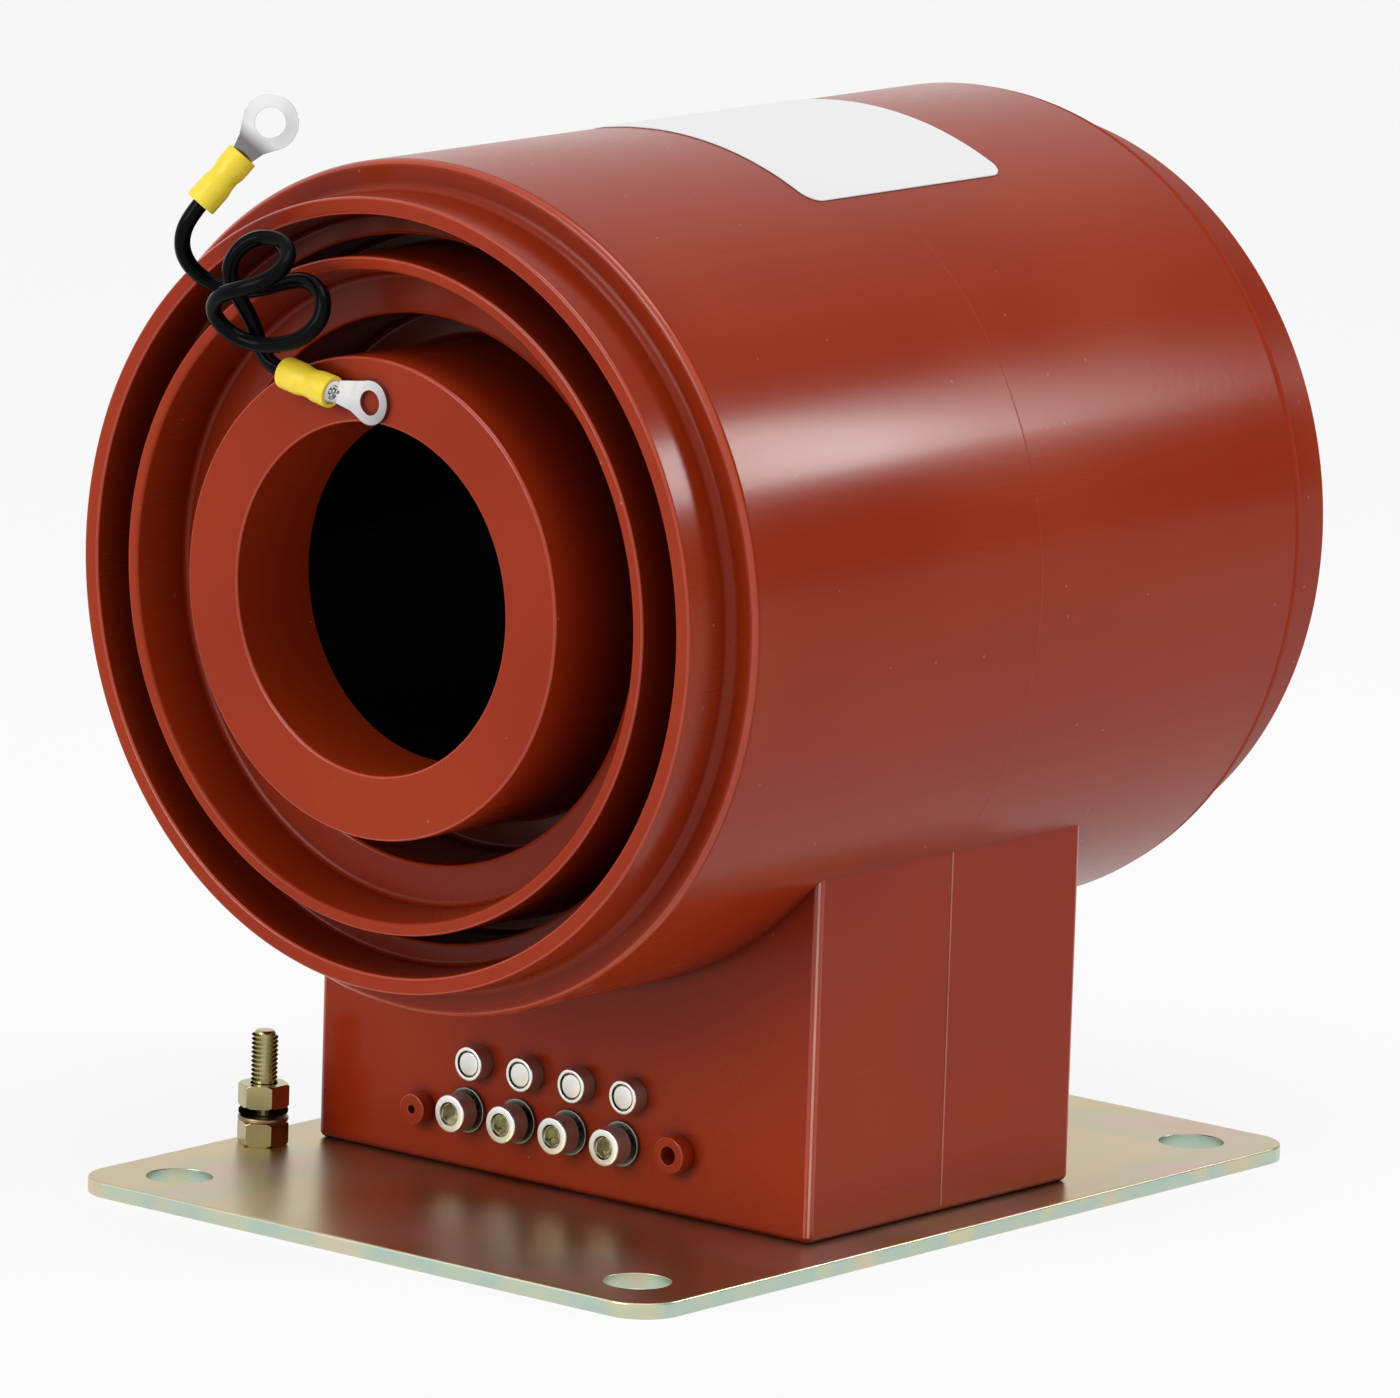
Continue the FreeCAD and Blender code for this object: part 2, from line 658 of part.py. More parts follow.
# Winding ends from the windings' undersides to the inserts
leads = []
for index in TERMINALS:
    x = terminal_x(s("lower_row_middle"), index).value
    drop = s("measuring_lead_y" if index < 2 else "protection_lead_y").value
    level = s("lower_row_height").value
    radius = s("lead_radius").value
    nearest = abs(x) - radius
    top = s("axis_height").value - math.sqrt(s("winding_outer").value ** 2 - nearest**2)
    points = [
        FreeCAD.Vector(x, drop, top),
        FreeCAD.Vector(x, drop, level),
        FreeCAD.Vector(x, insert_back.value, level),
    ]
    made = tube(f"secondary_lead_{index + 1}", points, [s("lead_bend").value], radius)
    leads.append(node(made, f"secondary_lead_{index + 1}"))
bundle = doc.addObject("Part::Compound", "LeadChannels")
bundle.Links = leads
resin = doc.addObject("Part::Cut", "Resin")
resin.Base = casting
resin.Tool = bundle
node(resin, "resin_body")

# Base plate
plate = doc.addObject("PartDesign::Body", "Plate")
outline = sketch(plate, "PlateOutline", "XY_Plane")
half_x = s("plate_width") / 2
half_y = s("plate_length") / 2
draw_outline(outline, rectangle(-half_x, half_x, -half_y, half_y))
pad(plate, outline, s("plate_thickness"), "Sheet")
doc.recompute()
corners = line_edges(plate.Tip.Shape, upright)
dress(plate, "Fillet", corners, "Radius", s("plate_corner"), "Corners")
rim = [
    f"Edge{i}"
    for i, e in enumerate(plate.Tip.Shape.Edges, start=1)
    if abs(e.BoundBox.ZMin - s("plate_thickness").value) < 0.01
]
dress(plate, "Chamfer", rim, "Size", s("plate_chamfer"), "TopEdge")
outline = sketch(plate, "Holes", "XY_Plane", out=s("plate_thickness"))
for i, j in FEET:
    draw_circle(
        outline,
        s("fixing_spacing_x") / 2 * i,
        s("fixing_spacing_y") / 2 * j,
        s("fixing_hole_radius"),
    )
draw_circle(
    outline, s("earth_x"), s("earth_y"), s("earth_radius") + s("thread_clearance")
)
pocket(plate, outline, s("plate_thickness"), "PlateHoles")
stud_head_room = [
    (ZERO, ZERO),
    (s("earth_head_radius") + s("thread_clearance"), ZERO),
    (s("earth_head_radius") + s("thread_clearance"), s("earth_head_height")),
    (ZERO, s("earth_head_height")),
]
outline = sketch(
    plate, "StudSeat", "XZ_Plane", across=s("earth_x"), out=-s("earth_y")
)
draw_outline(outline, stud_head_room)
groove(plate, outline, "V_Axis", "StudSeatGroove")
for number, (i, j) in enumerate(FEET):
    outline = sketch(
        plate,
        f"Countersink{number}",
        "XZ_Plane",
        across=s("foot_screw_x") * i,
        out=-s("foot_screw_y") * j,
    )
    draw_outline(
        outline,
        [
            (ZERO, ZERO),
            (s("foot_screw_head"), ZERO),
            (s("foot_screw_radius") + s("thread_clearance"), s("plate_thickness")),
            (ZERO, s("plate_thickness")),
        ],
    )
    groove(plate, outline, "V_Axis", f"Countersink{number}Groove")
node(plate, "base_plate")

# Countersunk plate screws and the inserts they pull on
screws = []
inserts = []
for number, (i, j) in enumerate(FEET):
    place = {"x": s("foot_screw_x") * i, "y": s("foot_screw_y") * j}
    shank = s("foot_screw_radius")
    tip = s("foot_screw_length")
    screws.append(
        turned_upright(
            f"PlateScrew{number}",
            [
                (ZERO, ZERO),
                (s("foot_screw_head") - s("thread_clearance"), ZERO),
                (shank, s("plate_thickness")),
                (shank, tip),
                (ZERO, tip),
            ],
            **place,
        )
    )
    bore = shank + s("thread_clearance")
    top = foot_level + s("foot_insert_length")
    inserts.append(
        turned_upright(
            f"FootInsert{number}",
            [
                (bore, foot_level),
                (s("foot_insert_radius"), foot_level),
                (s("foot_insert_radius"), top),
                (ZERO, top),
                (ZERO, tip),
                (bore, tip),
            ],
            **place,
        )
    )
for name, members in (("plate_screws", screws), ("base_inserts", inserts)):
    group = doc.addObject("Part::Compound", name + "_set")
    group.Links = members
    node(group, name)


def threaded_insert(name, x, z, radius, shank):
    """A brass insert flush with the pedestal's front, with a blind hole."""
    bore = shank + s("thread_clearance")
    end = pedestal_front + s("insert_hole_depth")
    body = turned_along(
        name,
        [
            (pedestal_front, bore),
            (pedestal_front, radius),
            (insert_back, radius),
            (insert_back, ZERO),
            (end, ZERO),
            (end, bore),
        ],
        x,
        z,
    )
    return node(body, name)


def washer(name, x, z, face, back, radius):
    body = turned_along(
        name,
        rectangle(face, back, s("washer_hole"), radius),
        x,
        z,
    )
    return node(body, name)


# Secondary terminals: lower row of cap screws, upper row of plugged screws
for index in TERMINALS:
    number = index + 1
    x = terminal_x(s("lower_row_middle"), index)
    z = s("lower_row_height")
    threaded_insert(
        f"terminal_insert_{number}", x, z, s("lower_insert_radius"), s("screw_radius")
    )
    washer(
        f"terminal_flat_washer_{number}",
        x,
        z,
        flat_washer_face,
        pedestal_front,
        s("flat_washer_radius"),
    )
    ring = washer(
        f"terminal_spring_washer_{number}",
        x,
        z,
        spring_washer_face,
        flat_washer_face,
        s("spring_washer_radius"),
    )
    outline = sketch(ring, "Split", "XZ_Plane", x, z, -spring_washer_face)
    half_slot = s("spring_washer_slot") / 2
    draw_outline(
        outline, rectangle(-half_slot, half_slot, ZERO, s("spring_washer_radius") * 1.1)
    )
    pocket(ring, outline, s("spring_washer_thickness"), "SplitPocket")

    tip = pedestal_front + s("screw_reach")
    chamfer = s("head_chamfer")
    screw = turned_along(
        f"terminal_screw_{number}",
        [
            (screw_face, ZERO),
            (screw_face, s("head_radius") - chamfer),
            (screw_face + chamfer, s("head_radius")),
            (spring_washer_face, s("head_radius")),
            (spring_washer_face, s("screw_radius")),
            (tip, s("screw_radius")),
            (tip, ZERO),
        ],
        x,
        z,
    )
    outline = sketch(screw, "Socket", "XZ_Plane", x, z, -screw_face)
    draw_outline(outline, hexagon(s("socket_flats")))
    pocket(screw, outline, s("socket_depth"), "SocketPocket")
    outline = sketch(screw, "Mouth", "YZ_Plane", screw_face, z, x)
    draw_outline(
        outline, [(ZERO, ZERO), (ZERO, s("socket_mouth")), (s("socket_mouth"), ZERO)]
    )
    groove(screw, outline, "H_Axis", "MouthGroove")
    node(screw, f"terminal_screw_{number}")

    x = terminal_x(s("upper_row_middle"), index)
    z = s("upper_row_height")
    shank = s("link_screw_radius")
    threaded_insert(f"link_insert_{number}", x, z, s("upper_insert_radius"), shank)
    floor = link_face + s("link_socket_depth")
    screw = turned_along(
        f"link_screw_{number}",
        [
            (floor, ZERO),
            (floor, s("link_socket_radius")),
            (link_face, s("link_socket_radius")),
            (link_face, s("link_head_radius") - chamfer),
            (link_face + chamfer, s("link_head_radius")),
            (pedestal_front, s("link_head_radius")),
            (pedestal_front, shank),
            (tip, shank),
            (tip, ZERO),
        ],
        x,
        z,
    )
    node(screw, f"link_screw_{number}")
    cap = turned_along(
        f"socket_cap_{number}",
        [
            (floor, ZERO),
            (floor, s("cap_foot_radius")),
            (floor - s("cap_foot_height"), s("cap_foot_radius")),
            (floor - s("cap_foot_height"), s("cap_radius")),
            (floor - s("cap_thickness"), s("cap_radius")),
            (floor - s("cap_thickness"), ZERO),
        ],
        x,
        z,
    )
    node(cap, f"socket_cap_{number}")

# Earthing bolt
earth = {"x": s("earth_x"), "y": s("earth_y")}
stud = turned_upright(
    "EarthStud",
    [
        (ZERO, ZERO),
        (s("earth_head_radius"), ZERO),
        (s("earth_head_radius"), s("earth_head_height")),
        (s("earth_radius"), s("earth_head_height")),
        (s("earth_radius"), s("earth_top") - s("earth_chamfer")),
        (s("earth_radius") - s("earth_chamfer"), s("earth_top")),
        (ZERO, s("earth_top")),
    ],
    **earth,
)
node(stud, "earth_stud")
stud_hole = s("earth_radius") + s("thread_clearance")


def nut(name, level):
    """A hexagon prism cut to a turned blank with bevelled ends and the bore."""
    top = level + s("nut_height")
    corner = s("nut_flats") / 2 / cosine(30)
    bevel = s("nut_chamfer")
    blank = turned_upright(
        f"{name}Blank",
        [
            (stud_hole, level),
            (corner - bevel, level),
            (corner, level + bevel),
            (corner, top - bevel),
            (corner - bevel, top),
            (stud_hole, top),
        ],
        **earth,
    )
    prism = doc.addObject("PartDesign::Body", f"{name}Prism")
    outline = sketch(prism, "Hexagon", "XY_Plane", s("earth_x"), s("earth_y"), level)
    draw_outline(outline, hexagon(s("nut_flats")))
    pad(prism, outline, s("nut_height"), "HexagonPad")
    made = doc.addObject("Part::Common", name)
    made.Base = blank
    made.Tool = prism
    return node(made, name)


nut("earth_lower_nut", nut_level)
node(
    turned_upright(
        "EarthFlatWasher",
        rectangle(stud_hole, s("earth_washer_radius"), washer_level, spring_level),
        **earth,
    ),
    "earth_flat_washer",
)
ring = turned_upright(
    "EarthSpringWasher",
    rectangle(stud_hole, s("earth_spring_radius"), spring_level, upper_nut_level),
    **earth,
)
outline = sketch(ring, "Split", "XY_Plane", s("earth_x"), s("earth_y"), upper_nut_level)
half_slot = s("earth_spring_slot") / 2
draw_outline(
    outline, rectangle(-half_slot, half_slot, -s("earth_spring_radius") * 1.1, ZERO)
)
pocket(ring, outline, s("earth_spring_height"), "SplitPocket")
node(ring, "earth_spring_washer")
nut("earth_upper_nut", upper_nut_level)

# Rating plate: a thin skin on the drum, trimmed to a rounded rectangle
skin_section = rectangle(
    s("label_front"),
    s("label_back"),
    s("drum_radius") + s("label_glue"),
    s("drum_radius") + s("label_glue") + s("label_thickness"),
)
skin = turned_along("LabelSkin", skin_section)
trim = doc.addObject("PartDesign::Body", "LabelTrim")
outline = sketch(trim, "LabelOutline", "XY_Plane")
half_label = s("label_height") / 2
draw_outline(
    outline, rectangle(-half_label, half_label, s("label_front"), s("label_back"))
)
pad(trim, outline, s("drum_radius") * 1.1, "LabelPad")
doc.recompute()
corners = line_edges(trim.Tip.Shape, upright)
dress(trim, "Fillet", corners, "Radius", s("label_corner"), "LabelCorners")
trim.Placement.Rotation = FreeCAD.Rotation(FreeCAD.Vector(0, 1, 0), 0)
bind(trim, "Placement.Base.z", s("axis_height"))
trim.setExpression("Placement.Rotation.Axis.x", "0")
trim.setExpression("Placement.Rotation.Axis.y", "1")
trim.setExpression("Placement.Rotation.Axis.z", "0")
trim.setExpression("Placement.Rotation.Angle", "90 - sizes.label_middle_angle")
label = doc.addObject("Part::Common", "RatingLabel")
label.Base = skin
label.Tool = trim
node(label, "rating_label")

# Route of the loose lead: X, distance in front of the hub's face, height above the window's axis.
# The first and last points are set by the two terminals.
UPPER_MOUTH = (-40.3, 11.2, 80.3)
UPPER_ALONG = FreeCAD.Vector(-0.4064, -0.5047, -0.7617).normalize()
UPPER_LIFT = FreeCAD.Vector(-0.6307, 0.7581, -0.1658)
ROUTE = [
    (-43.9, 12.9, 72.9),
    (-45.0, 10.4, 67.8),
    (-43.2, 6.4, 63.4),
    (-37.9, 2.9, 61.2),
    (-31.0, 2.2, 62.4),
    (-23.8, 2.5, 64.9),
    (-17.2, 3.0, 66.4),
    (-12.0, 4.1, 64.7),
    (-9.9, 5.3, 61.6),
    (-10.3, 6.5, 58.1),
    (-14.0, 7.5, 54.5),
    (-20.0, 7.8, 52.4),
    (-26.2, 8.3, 51.8),
    (-31.2, 9.7, 53.2),
    (-33.7, 11.9, 56.1),
    (-33.4, 14.3, 59.5),
    (-29.5, 16.3, 62.9),
    (-24.0, 16.5, 64.8),
    (-19.4, 15.1, 66.4),
    (-16.6, 12.4, 68.6),
    (-16.6, 9.0, 71.7),
    (-20.6, 6.5, 74.3),
    (-26.3, 6.5, 74.7),
    (-30.6, 7.6, 72.9),
    (-33.2, 8.6, 69.4),
    (-33.7, 8.8, 65.7),
    (-32.9, 7.9, 62.4),
    (-31.7, 6.4, 59.5),
    (-30.6, 5.1, 56.4),
    (-29.6, 4.2, 53.1),
    (-28.6, 3.8, 49.6),
]
RUN_SHARE = 0.45


def terminal_frame(origin, along, lift):
    """Placement of a terminal: its x runs from the ring to the barrel, its z off the ring's seat."""
    across = lift.cross(along)
    turn = FreeCAD.Rotation(along, across, lift, "XZY")
    return FreeCAD.Placement(origin, turn)


def terminal(end, frame):
    """A ring tongue with its barrel, and the insulating sleeve over the barrel."""
    thickness = s("ring_thickness").value
    ring = s(f"{end}_ring_radius").value
    angle = math.radians(s("tongue_angle").value)
    half = s("tongue_half_width").value
    bend = s(f"{end}_tongue_bend").value
    start = s(f"{end}_barrel_start").value
    lift = s("barrel_lift").value
    barrel = s("barrel_radius").value
    up = FreeCAD.Vector(0, 0, 1)
    leave = (ring * math.cos(angle), ring * math.sin(angle))
    tongue = Part.makePolygon(
        [
            FreeCAD.Vector(leave[0], leave[1], 0),
            FreeCAD.Vector(leave[0], -leave[1], 0),
            FreeCAD.Vector(bend, -half, 0),
            FreeCAD.Vector(bend, half, 0),
            FreeCAD.Vector(leave[0], leave[1], 0),
        ]
    )
    flat = Part.makeCylinder(ring, thickness).fuse(Part.Face(tongue).extrude(up * thickness))
    flat = flat.cut(Part.makeCylinder(s(f"{end}_ring_hole").value, thickness))
    sections = []
    neck = barrel - s("neck_inset").value
    underside = lift - barrel + s("neck_rise").value
    for along, wide, low in ((bend, half, 0), (start, neck, underside)):
        sections.append(
            Part.makePolygon(
                [
                    FreeCAD.Vector(along, -wide, low),
                    FreeCAD.Vector(along, wide, low),
                    FreeCAD.Vector(along, wide, low + thickness),
                    FreeCAD.Vector(along, -wide, low + thickness),
                    FreeCAD.Vector(along, -wide, low),
                ]
            )
        )
    slope = Part.makeLoft(sections, True, True)
    rod = Part.makeCylinder(
        barrel,
        s("sleeve_length").value - s("sleeve_overhang").value,
        FreeCAD.Vector(start, 0, lift),
        FreeCAD.Vector(1, 0, 0),
    )
    made = doc.addObject("Part::Feature", f"ring_terminal_{end}")
    made.Shape = flat.fuse([slope, rod]).removeSplitter()
    made.Placement = frame
    node(made, f"ring_terminal_{end}")

    fit = s("sleeve_fit")
    flank = s("sleeve_flank")
    body = doc.addObject("PartDesign::Body", f"Sleeve{end}")
    outline = sketch(body, "Profile", "XZ_Plane", up=s("barrel_lift"))
    wire_bore = s("wire_radius") + fit
    barrel_bore = s("barrel_radius") + fit
    front = s(f"{end}_barrel_start")
    waist_from = front + s("sleeve_waist_from")
    waist_to = front + s("sleeve_waist_to")
    mouth = front + s("sleeve_length")
    inside = mouth - s("sleeve_overhang")
    draw_outline(
        outline,
        [
            (front, barrel_bore),
            (front, s("sleeve_radius")),
            (waist_from - flank, s("sleeve_radius")),
            (waist_from, s("sleeve_waist")),
            (waist_to, s("sleeve_waist")),
            (waist_to + flank, s("sleeve_radius")),
            (mouth, s("sleeve_radius")),
            (mouth, wire_bore),
            (inside, wire_bore),
            (inside, barrel_bore),
        ],
    )
    revolve(body, outline, "H_Axis")
    body.Placement = frame
    node(body, f"lead_sleeve_{end}")


hub_face = -s("hub_half_length").value


def mouth_of(end):
    """Ring centre to the mouth of that terminal's sleeve."""
    return (s(f"{end}_barrel_start") + s("sleeve_length")).value


def off_hub(x, out, rise):
    """A point in front of the hub's face."""
    return FreeCAD.Vector(x, hub_face - out, s("axis_height").value + rise)


turn = math.radians(s("lower_ring_turn").value)
lower_along = FreeCAD.Vector(-math.cos(turn), 0, math.sin(turn))
lower_origin = off_hub(s("lower_ring_x").value, 0, s("lower_ring_rise").value)
lower_frame = terminal_frame(lower_origin, lower_along, FreeCAD.Vector(0, -1, 0))
upper_lift = (
    UPPER_LIFT - UPPER_ALONG * UPPER_LIFT.dot(UPPER_ALONG)
).normalize()
upper_origin = (
    off_hub(*UPPER_MOUTH)
    - UPPER_ALONG * mouth_of("upper")
    - upper_lift * s("barrel_lift").value
)
upper_frame = terminal_frame(upper_origin, UPPER_ALONG, upper_lift)
terminal("lower", lower_frame)
terminal("upper", upper_frame)


def lead_end(end, frame, out):
    """A point on the barrel's axis, that far outside the sleeve's mouth."""
    return frame.multVec(FreeCAD.Vector(mouth_of(end) + out, 0, s("barrel_lift").value))


inside = -s("sleeve_overhang").value
outside = s("lead_straight").value
route = [lead_end("upper", upper_frame, inside), lead_end("upper", upper_frame, outside)]
route += [off_hub(*point) for point in ROUTE]
route += [lead_end("lower", lower_frame, outside), lead_end("lower", lower_frame, inside)]
print("lead ends", route[:2], route[-2:])
bends = []
for before, corner, after in zip(route, route[1:], route[2:]):
    turn = (corner - before).getAngle(after - corner)
    run = min((corner - before).Length, (after - corner).Length)
    bends.append(RUN_SHARE * run / math.tan(turn / 2))
print("lead bends", [round(bend, 1) for bend in bends])
node(tube("LeadWire", route, bends, s("wire_radius").value), "lead_wire")

# Checks and export
doc.recompute()
for thing in doc.Objects:
    if {"Invalid", "Error"} & set(thing.State):
        raise ValueError(f"{thing.Label} didn't compute")
for thing in NODES:
    if thing.Shape.isNull() or not thing.Shape.isValid() or not thing.Shape.Solids:
        raise ValueError(f"{thing.Label} has no sound shape")
os.makedirs("parts", exist_ok=True)
for thing in NODES:
    thing.Shape.exportStep(f"parts/{thing.Label}.step")
print(f"{len(NODES)} sub-parts")
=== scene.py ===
"""Look of a window-type medium voltage current transformer cast in epoxy resin."""

import json
import math

import bmesh
import bpy
from mathutils import Matrix, Vector


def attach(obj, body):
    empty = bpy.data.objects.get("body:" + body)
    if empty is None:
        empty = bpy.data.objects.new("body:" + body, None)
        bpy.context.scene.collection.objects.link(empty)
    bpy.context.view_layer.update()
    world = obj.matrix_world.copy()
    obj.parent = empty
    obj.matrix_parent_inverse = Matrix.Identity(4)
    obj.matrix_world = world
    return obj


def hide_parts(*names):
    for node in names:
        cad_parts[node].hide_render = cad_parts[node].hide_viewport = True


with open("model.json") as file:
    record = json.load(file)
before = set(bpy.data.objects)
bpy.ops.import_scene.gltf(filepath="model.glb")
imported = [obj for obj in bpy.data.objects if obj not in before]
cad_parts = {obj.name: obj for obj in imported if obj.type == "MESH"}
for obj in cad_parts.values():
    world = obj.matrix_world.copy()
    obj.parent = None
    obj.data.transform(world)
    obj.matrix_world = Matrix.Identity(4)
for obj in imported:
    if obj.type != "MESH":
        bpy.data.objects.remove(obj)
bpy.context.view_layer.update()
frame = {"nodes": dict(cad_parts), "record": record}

FULL_TURN = math.tau


# Places and sizes, in millimetres ---------------------------------------

MM = 0.001
AXIS_HEIGHT = 142
PEDESTAL_WIDTH = 140
PEDESTAL_DEPTH = 90
PEDESTAL_FRONT = -45
SCREW_OFFSETS = [14.65 * step for step in (-1.5, -0.5, 0.5, 1.5)]
TERMINAL_ROW = [-4.4 + offset for offset in SCREW_OFFSETS]
TERMINAL_HEIGHT = 17
LINK_ROW = [-1.5 + offset for offset in SCREW_OFFSETS]
LINK_HEIGHT = 28.2
EARTH_BOLT = (-74.1, -58.5)
# The window's wall has a black coat, which ends short of both mouths
COAT_RADIUS = 38.5
COAT_END = 89.5

# Cover bosses on the pedestal's front: across, height, outer radius and hole radius
COVER_BOSSES = {"left": (-39.4, 15.4, 3.5, 0.95), "right": (33.6, 17.6, 4.2, 2.0)}

# Half profile of the drum's front end: radius, distance from the middle and rounding
DRUM_END = [
    (91.5, 95.5, 1.8), (84.75, 95.5, 2.2), (84.75, 109, 0.8), (81, 109, 0.8), (80.2, 95.5, 1.0),
    (75.5, 95.5, 0.8), (75.5, 78, 0.8), (72.2, 78, 0.8), (72.2, 109, 0.8), (69.4, 109, 0.8),
    (67.4, 95.5, 1.2), (58.7, 95.5, 1.0), (58.7, 72, 1.2), (51.5, 72, 1.2), (51.5, 112.5, 0.9),
    (37.5, 112.5, 0.8),
]
# The back end's shoulder is rounder, as the photograph shows no crisp line there
BACK_SHOULDER = [(84.75, -95.5, 0.7), (91.5, -95.5, 6)]
# The mould's parting line, round the middle of the drum
DRUM_PARTING = [(91.5, -0.25, 0), (91.58, 0, 0), (91.5, 0.25, 0)]

# Half profile of a lead sleeve, from the terminal's end: radius, height and rounding
SLEEVE = [
    (2.65, 0, 0.1), (3.5, 0, 0.35), (3.5, 4.2, 0.7), (3.15, 5.4, 0.7), (3.15, 7.4, 0.7),
    (3.5, 8.6, 0.7), (3.5, 13.8, 0.45), (1.8, 13.8, 0.15), (1.8, 11.3, 0), (2.65, 11.3, 0),
]

# The lead's ring terminals: the ring's centre, the directions from it to the barrel and
# off the ring's seat, and the distance to the barrel
LEAD_ENDS = {
    "lower": {
        "centre": (-0.4, -112.5, 184.0), "along": (-0.982287, 0, 0.187381),
        "off": (0, -1, 0), "start": 8.0,
    },
    "upper": {
        "centre": (-28.70989, -115.08659, 240.21176), "along": (-0.4064, -0.5047, -0.7617),
        "off": (-0.6307066, 0.75810125, -0.16580614), "start": 8.9,
    },
}
BARREL_LIFT = 3.75
LEAD_RADIUS = 1.75

# Route of the loose lead, from the lower terminal's sleeve to the upper one's
LEAD_ROUTE = [
    (-19.358, -116.25, 187.616),
    (-24.957, -116.25, 188.685),
    (-28.6, -116.3, 191.6),
    (-29.6, -116.7, 195.1),
    (-30.6, -117.6, 198.4),
    (-31.7, -118.9, 201.5),
    (-32.9, -120.4, 204.4),
    (-33.7, -121.3, 207.7),
    (-33.2, -121.1, 211.4),
    (-30.6, -120.1, 214.9),
    (-26.3, -119.0, 216.7),
    (-20.6, -119.0, 216.3),
    (-16.6, -121.5, 213.7),
    (-16.6, -124.9, 210.6),
    (-19.4, -127.6, 208.4),
    (-24.0, -129.0, 206.8),
    (-29.5, -128.8, 204.9),
    (-33.4, -126.8, 201.5),
    (-33.7, -124.4, 198.1),
    (-31.2, -122.2, 195.2),
    (-26.2, -120.8, 193.8),
    (-20.0, -120.3, 194.4),
    (-14.0, -120.0, 196.5),
    (-10.3, -119.0, 200.1),
    (-9.9, -117.8, 203.6),
    (-12.0, -116.6, 206.7),
    (-17.2, -115.5, 208.4),
    (-23.8, -115.0, 206.9),
    (-31.0, -114.7, 204.4),
    (-37.9, -115.4, 203.2),
    (-43.2, -118.9, 205.4),
    (-45.0, -122.9, 209.8),
    (-43.9, -125.4, 214.9),
    (-41.600, -125.315, 219.863),
    (-39.284, -122.438, 224.204),
]


# Colours, as linear red, green and blue ---------------------------------

RESIN = [(0.31, 0.025, 0.0042), (0.33, 0.029, 0.005), (0.35, 0.034, 0.006)]
# Paler resin at edges: partly wear and partly a painted highlight
RESIN_EDGE_WEAR_AND_HIGHLIGHT = (0.56, 0.1, 0.03)
# Pale lip on the resin's edges: a painted highlight
RESIN_PAINTED_HIGHLIGHT = (0.85, 0.5, 0.36)
RESIN_SPECK = (0.6, 0.3, 0.2)
# Near-black red: painted shade in the resin's hollows and creases
RESIN_PAINTED_SHADE = (0.06, 0.002, 0.0005)
COAT_BLACK = (0.0015, 0.0015, 0.0015)
PASSIVATED = [
    (0.52, 0.43, 0.22), (0.56, 0.44, 0.25), (0.5, 0.46, 0.3), (0.6, 0.44, 0.37), (0.56, 0.44, 0.26),
]
PASSIVATED_EDGE = [(0.6, 0.6, 0.4), (0.46, 0.58, 0.52), (0.52, 0.6, 0.46), (0.66, 0.58, 0.42)]


# Shader building --------------------------------------------------------

# Where most values of the patches' noise lie: for roughness, and start and span for tints
PATCH_RANGE = (0.3, 0.7)
TINT_START, TINT_SPAN = 0.32, 0.36
# Hairlines: scale of their noise, how far it is drawn out, and the least value of a line
HAIR_SCALE, HAIR_STRETCH, HAIR_LEVEL = 1400, 0.015, 0.74
# Millimetres that a hairline cuts in, for each unit of a finish's lines
HAIR_CUT = 0.07
# Specks: scale of their cells, radius in a cell, and the share of cells left empty
SPECK_SCALE, SPECK_SIZE, SPECK_GAPS = 150, 0.05, 0.6


def add(tree, kind, inputs=None, **settings):
    """One shader node; an input is a value or another node's output."""
    made = tree.nodes.new(kind)
    for name, value in settings.items():
        setattr(made, name, value)
    for name, value in (inputs or {}).items():
        if isinstance(value, bpy.types.NodeSocket):
            tree.links.new(value, made.inputs[name])
        else:
            made.inputs[name].default_value = value
    return made


def math_node(tree, operation, first, second=0.0, clamp=False):
    inputs = {0: first, 1: second}
    return add(tree, "ShaderNodeMath", inputs, operation=operation, use_clamp=clamp).outputs[0]


def dot(tree, first, second):
    inputs = {0: first, 1: second}
    made = add(tree, "ShaderNodeVectorMath", inputs, operation="DOT_PRODUCT")
    return made.outputs["Value"]


def noise(tree, place, scale, detail):
    made = add(tree, "ShaderNodeTexNoise", {"Vector": place, "Scale": scale, "Detail": detail})
    return made.outputs[0]


def map_range(tree, value, start, end, low, high):
    """Turns start to end into low to high, and keeps to that range."""
    made = add(
        tree, "ShaderNodeMapRange",
        {"Value": value, "From Min": start, "From Max": end, "To Min": low, "To Max": high},
    )
    return made.outputs[0]


def place_of(tree):
    return tree.nodes.new("ShaderNodeTexCoord").outputs["Object"]


def blend_colours(tree, factor, first, second):
    """Mixes two colours, which are the node's inputs 6 and 7."""
    made = add(tree, "ShaderNodeMix", {0: factor}, data_type="RGBA")
    for index, colour in ((6, first), (7, second)):
        if isinstance(colour, bpy.types.NodeSocket):
            tree.links.new(colour, made.inputs[index])
        else:
            made.inputs[index].default_value = (*colour, 1)
    return made.outputs[2]


def tinted(tree, value, tints):
    """Runs a mask through the tints, spread over where its values mostly lie."""
    made = add(tree, "ShaderNodeValToRGB", {"Fac": value})
    bands = made.color_ramp.elements
    while len(bands) < len(tints):
        bands.new(0.5)
    for index, tint in enumerate(tints):
        bands[index].position = TINT_START + TINT_SPAN * index / (len(tints) - 1)
        bands[index].color = (*tint, 1)
    return made.outputs[0]


def seen_directly(tree, mirrored=1.0):
    """Where the camera or glass sees the background itself, and mirrored of it in a gloss."""
    ways = tree.nodes.new("ShaderNodeLightPath").outputs
    plain = math_node(tree, "MAXIMUM", ways["Is Camera Ray"], ways["Is Transmission Ray"])
    gloss = math_node(tree, "MULTIPLY", ways["Is Glossy Ray"], mirrored)
    return math_node(tree, "MAXIMUM", plain, gloss)


# Effects that the finishes share ----------------------------------------


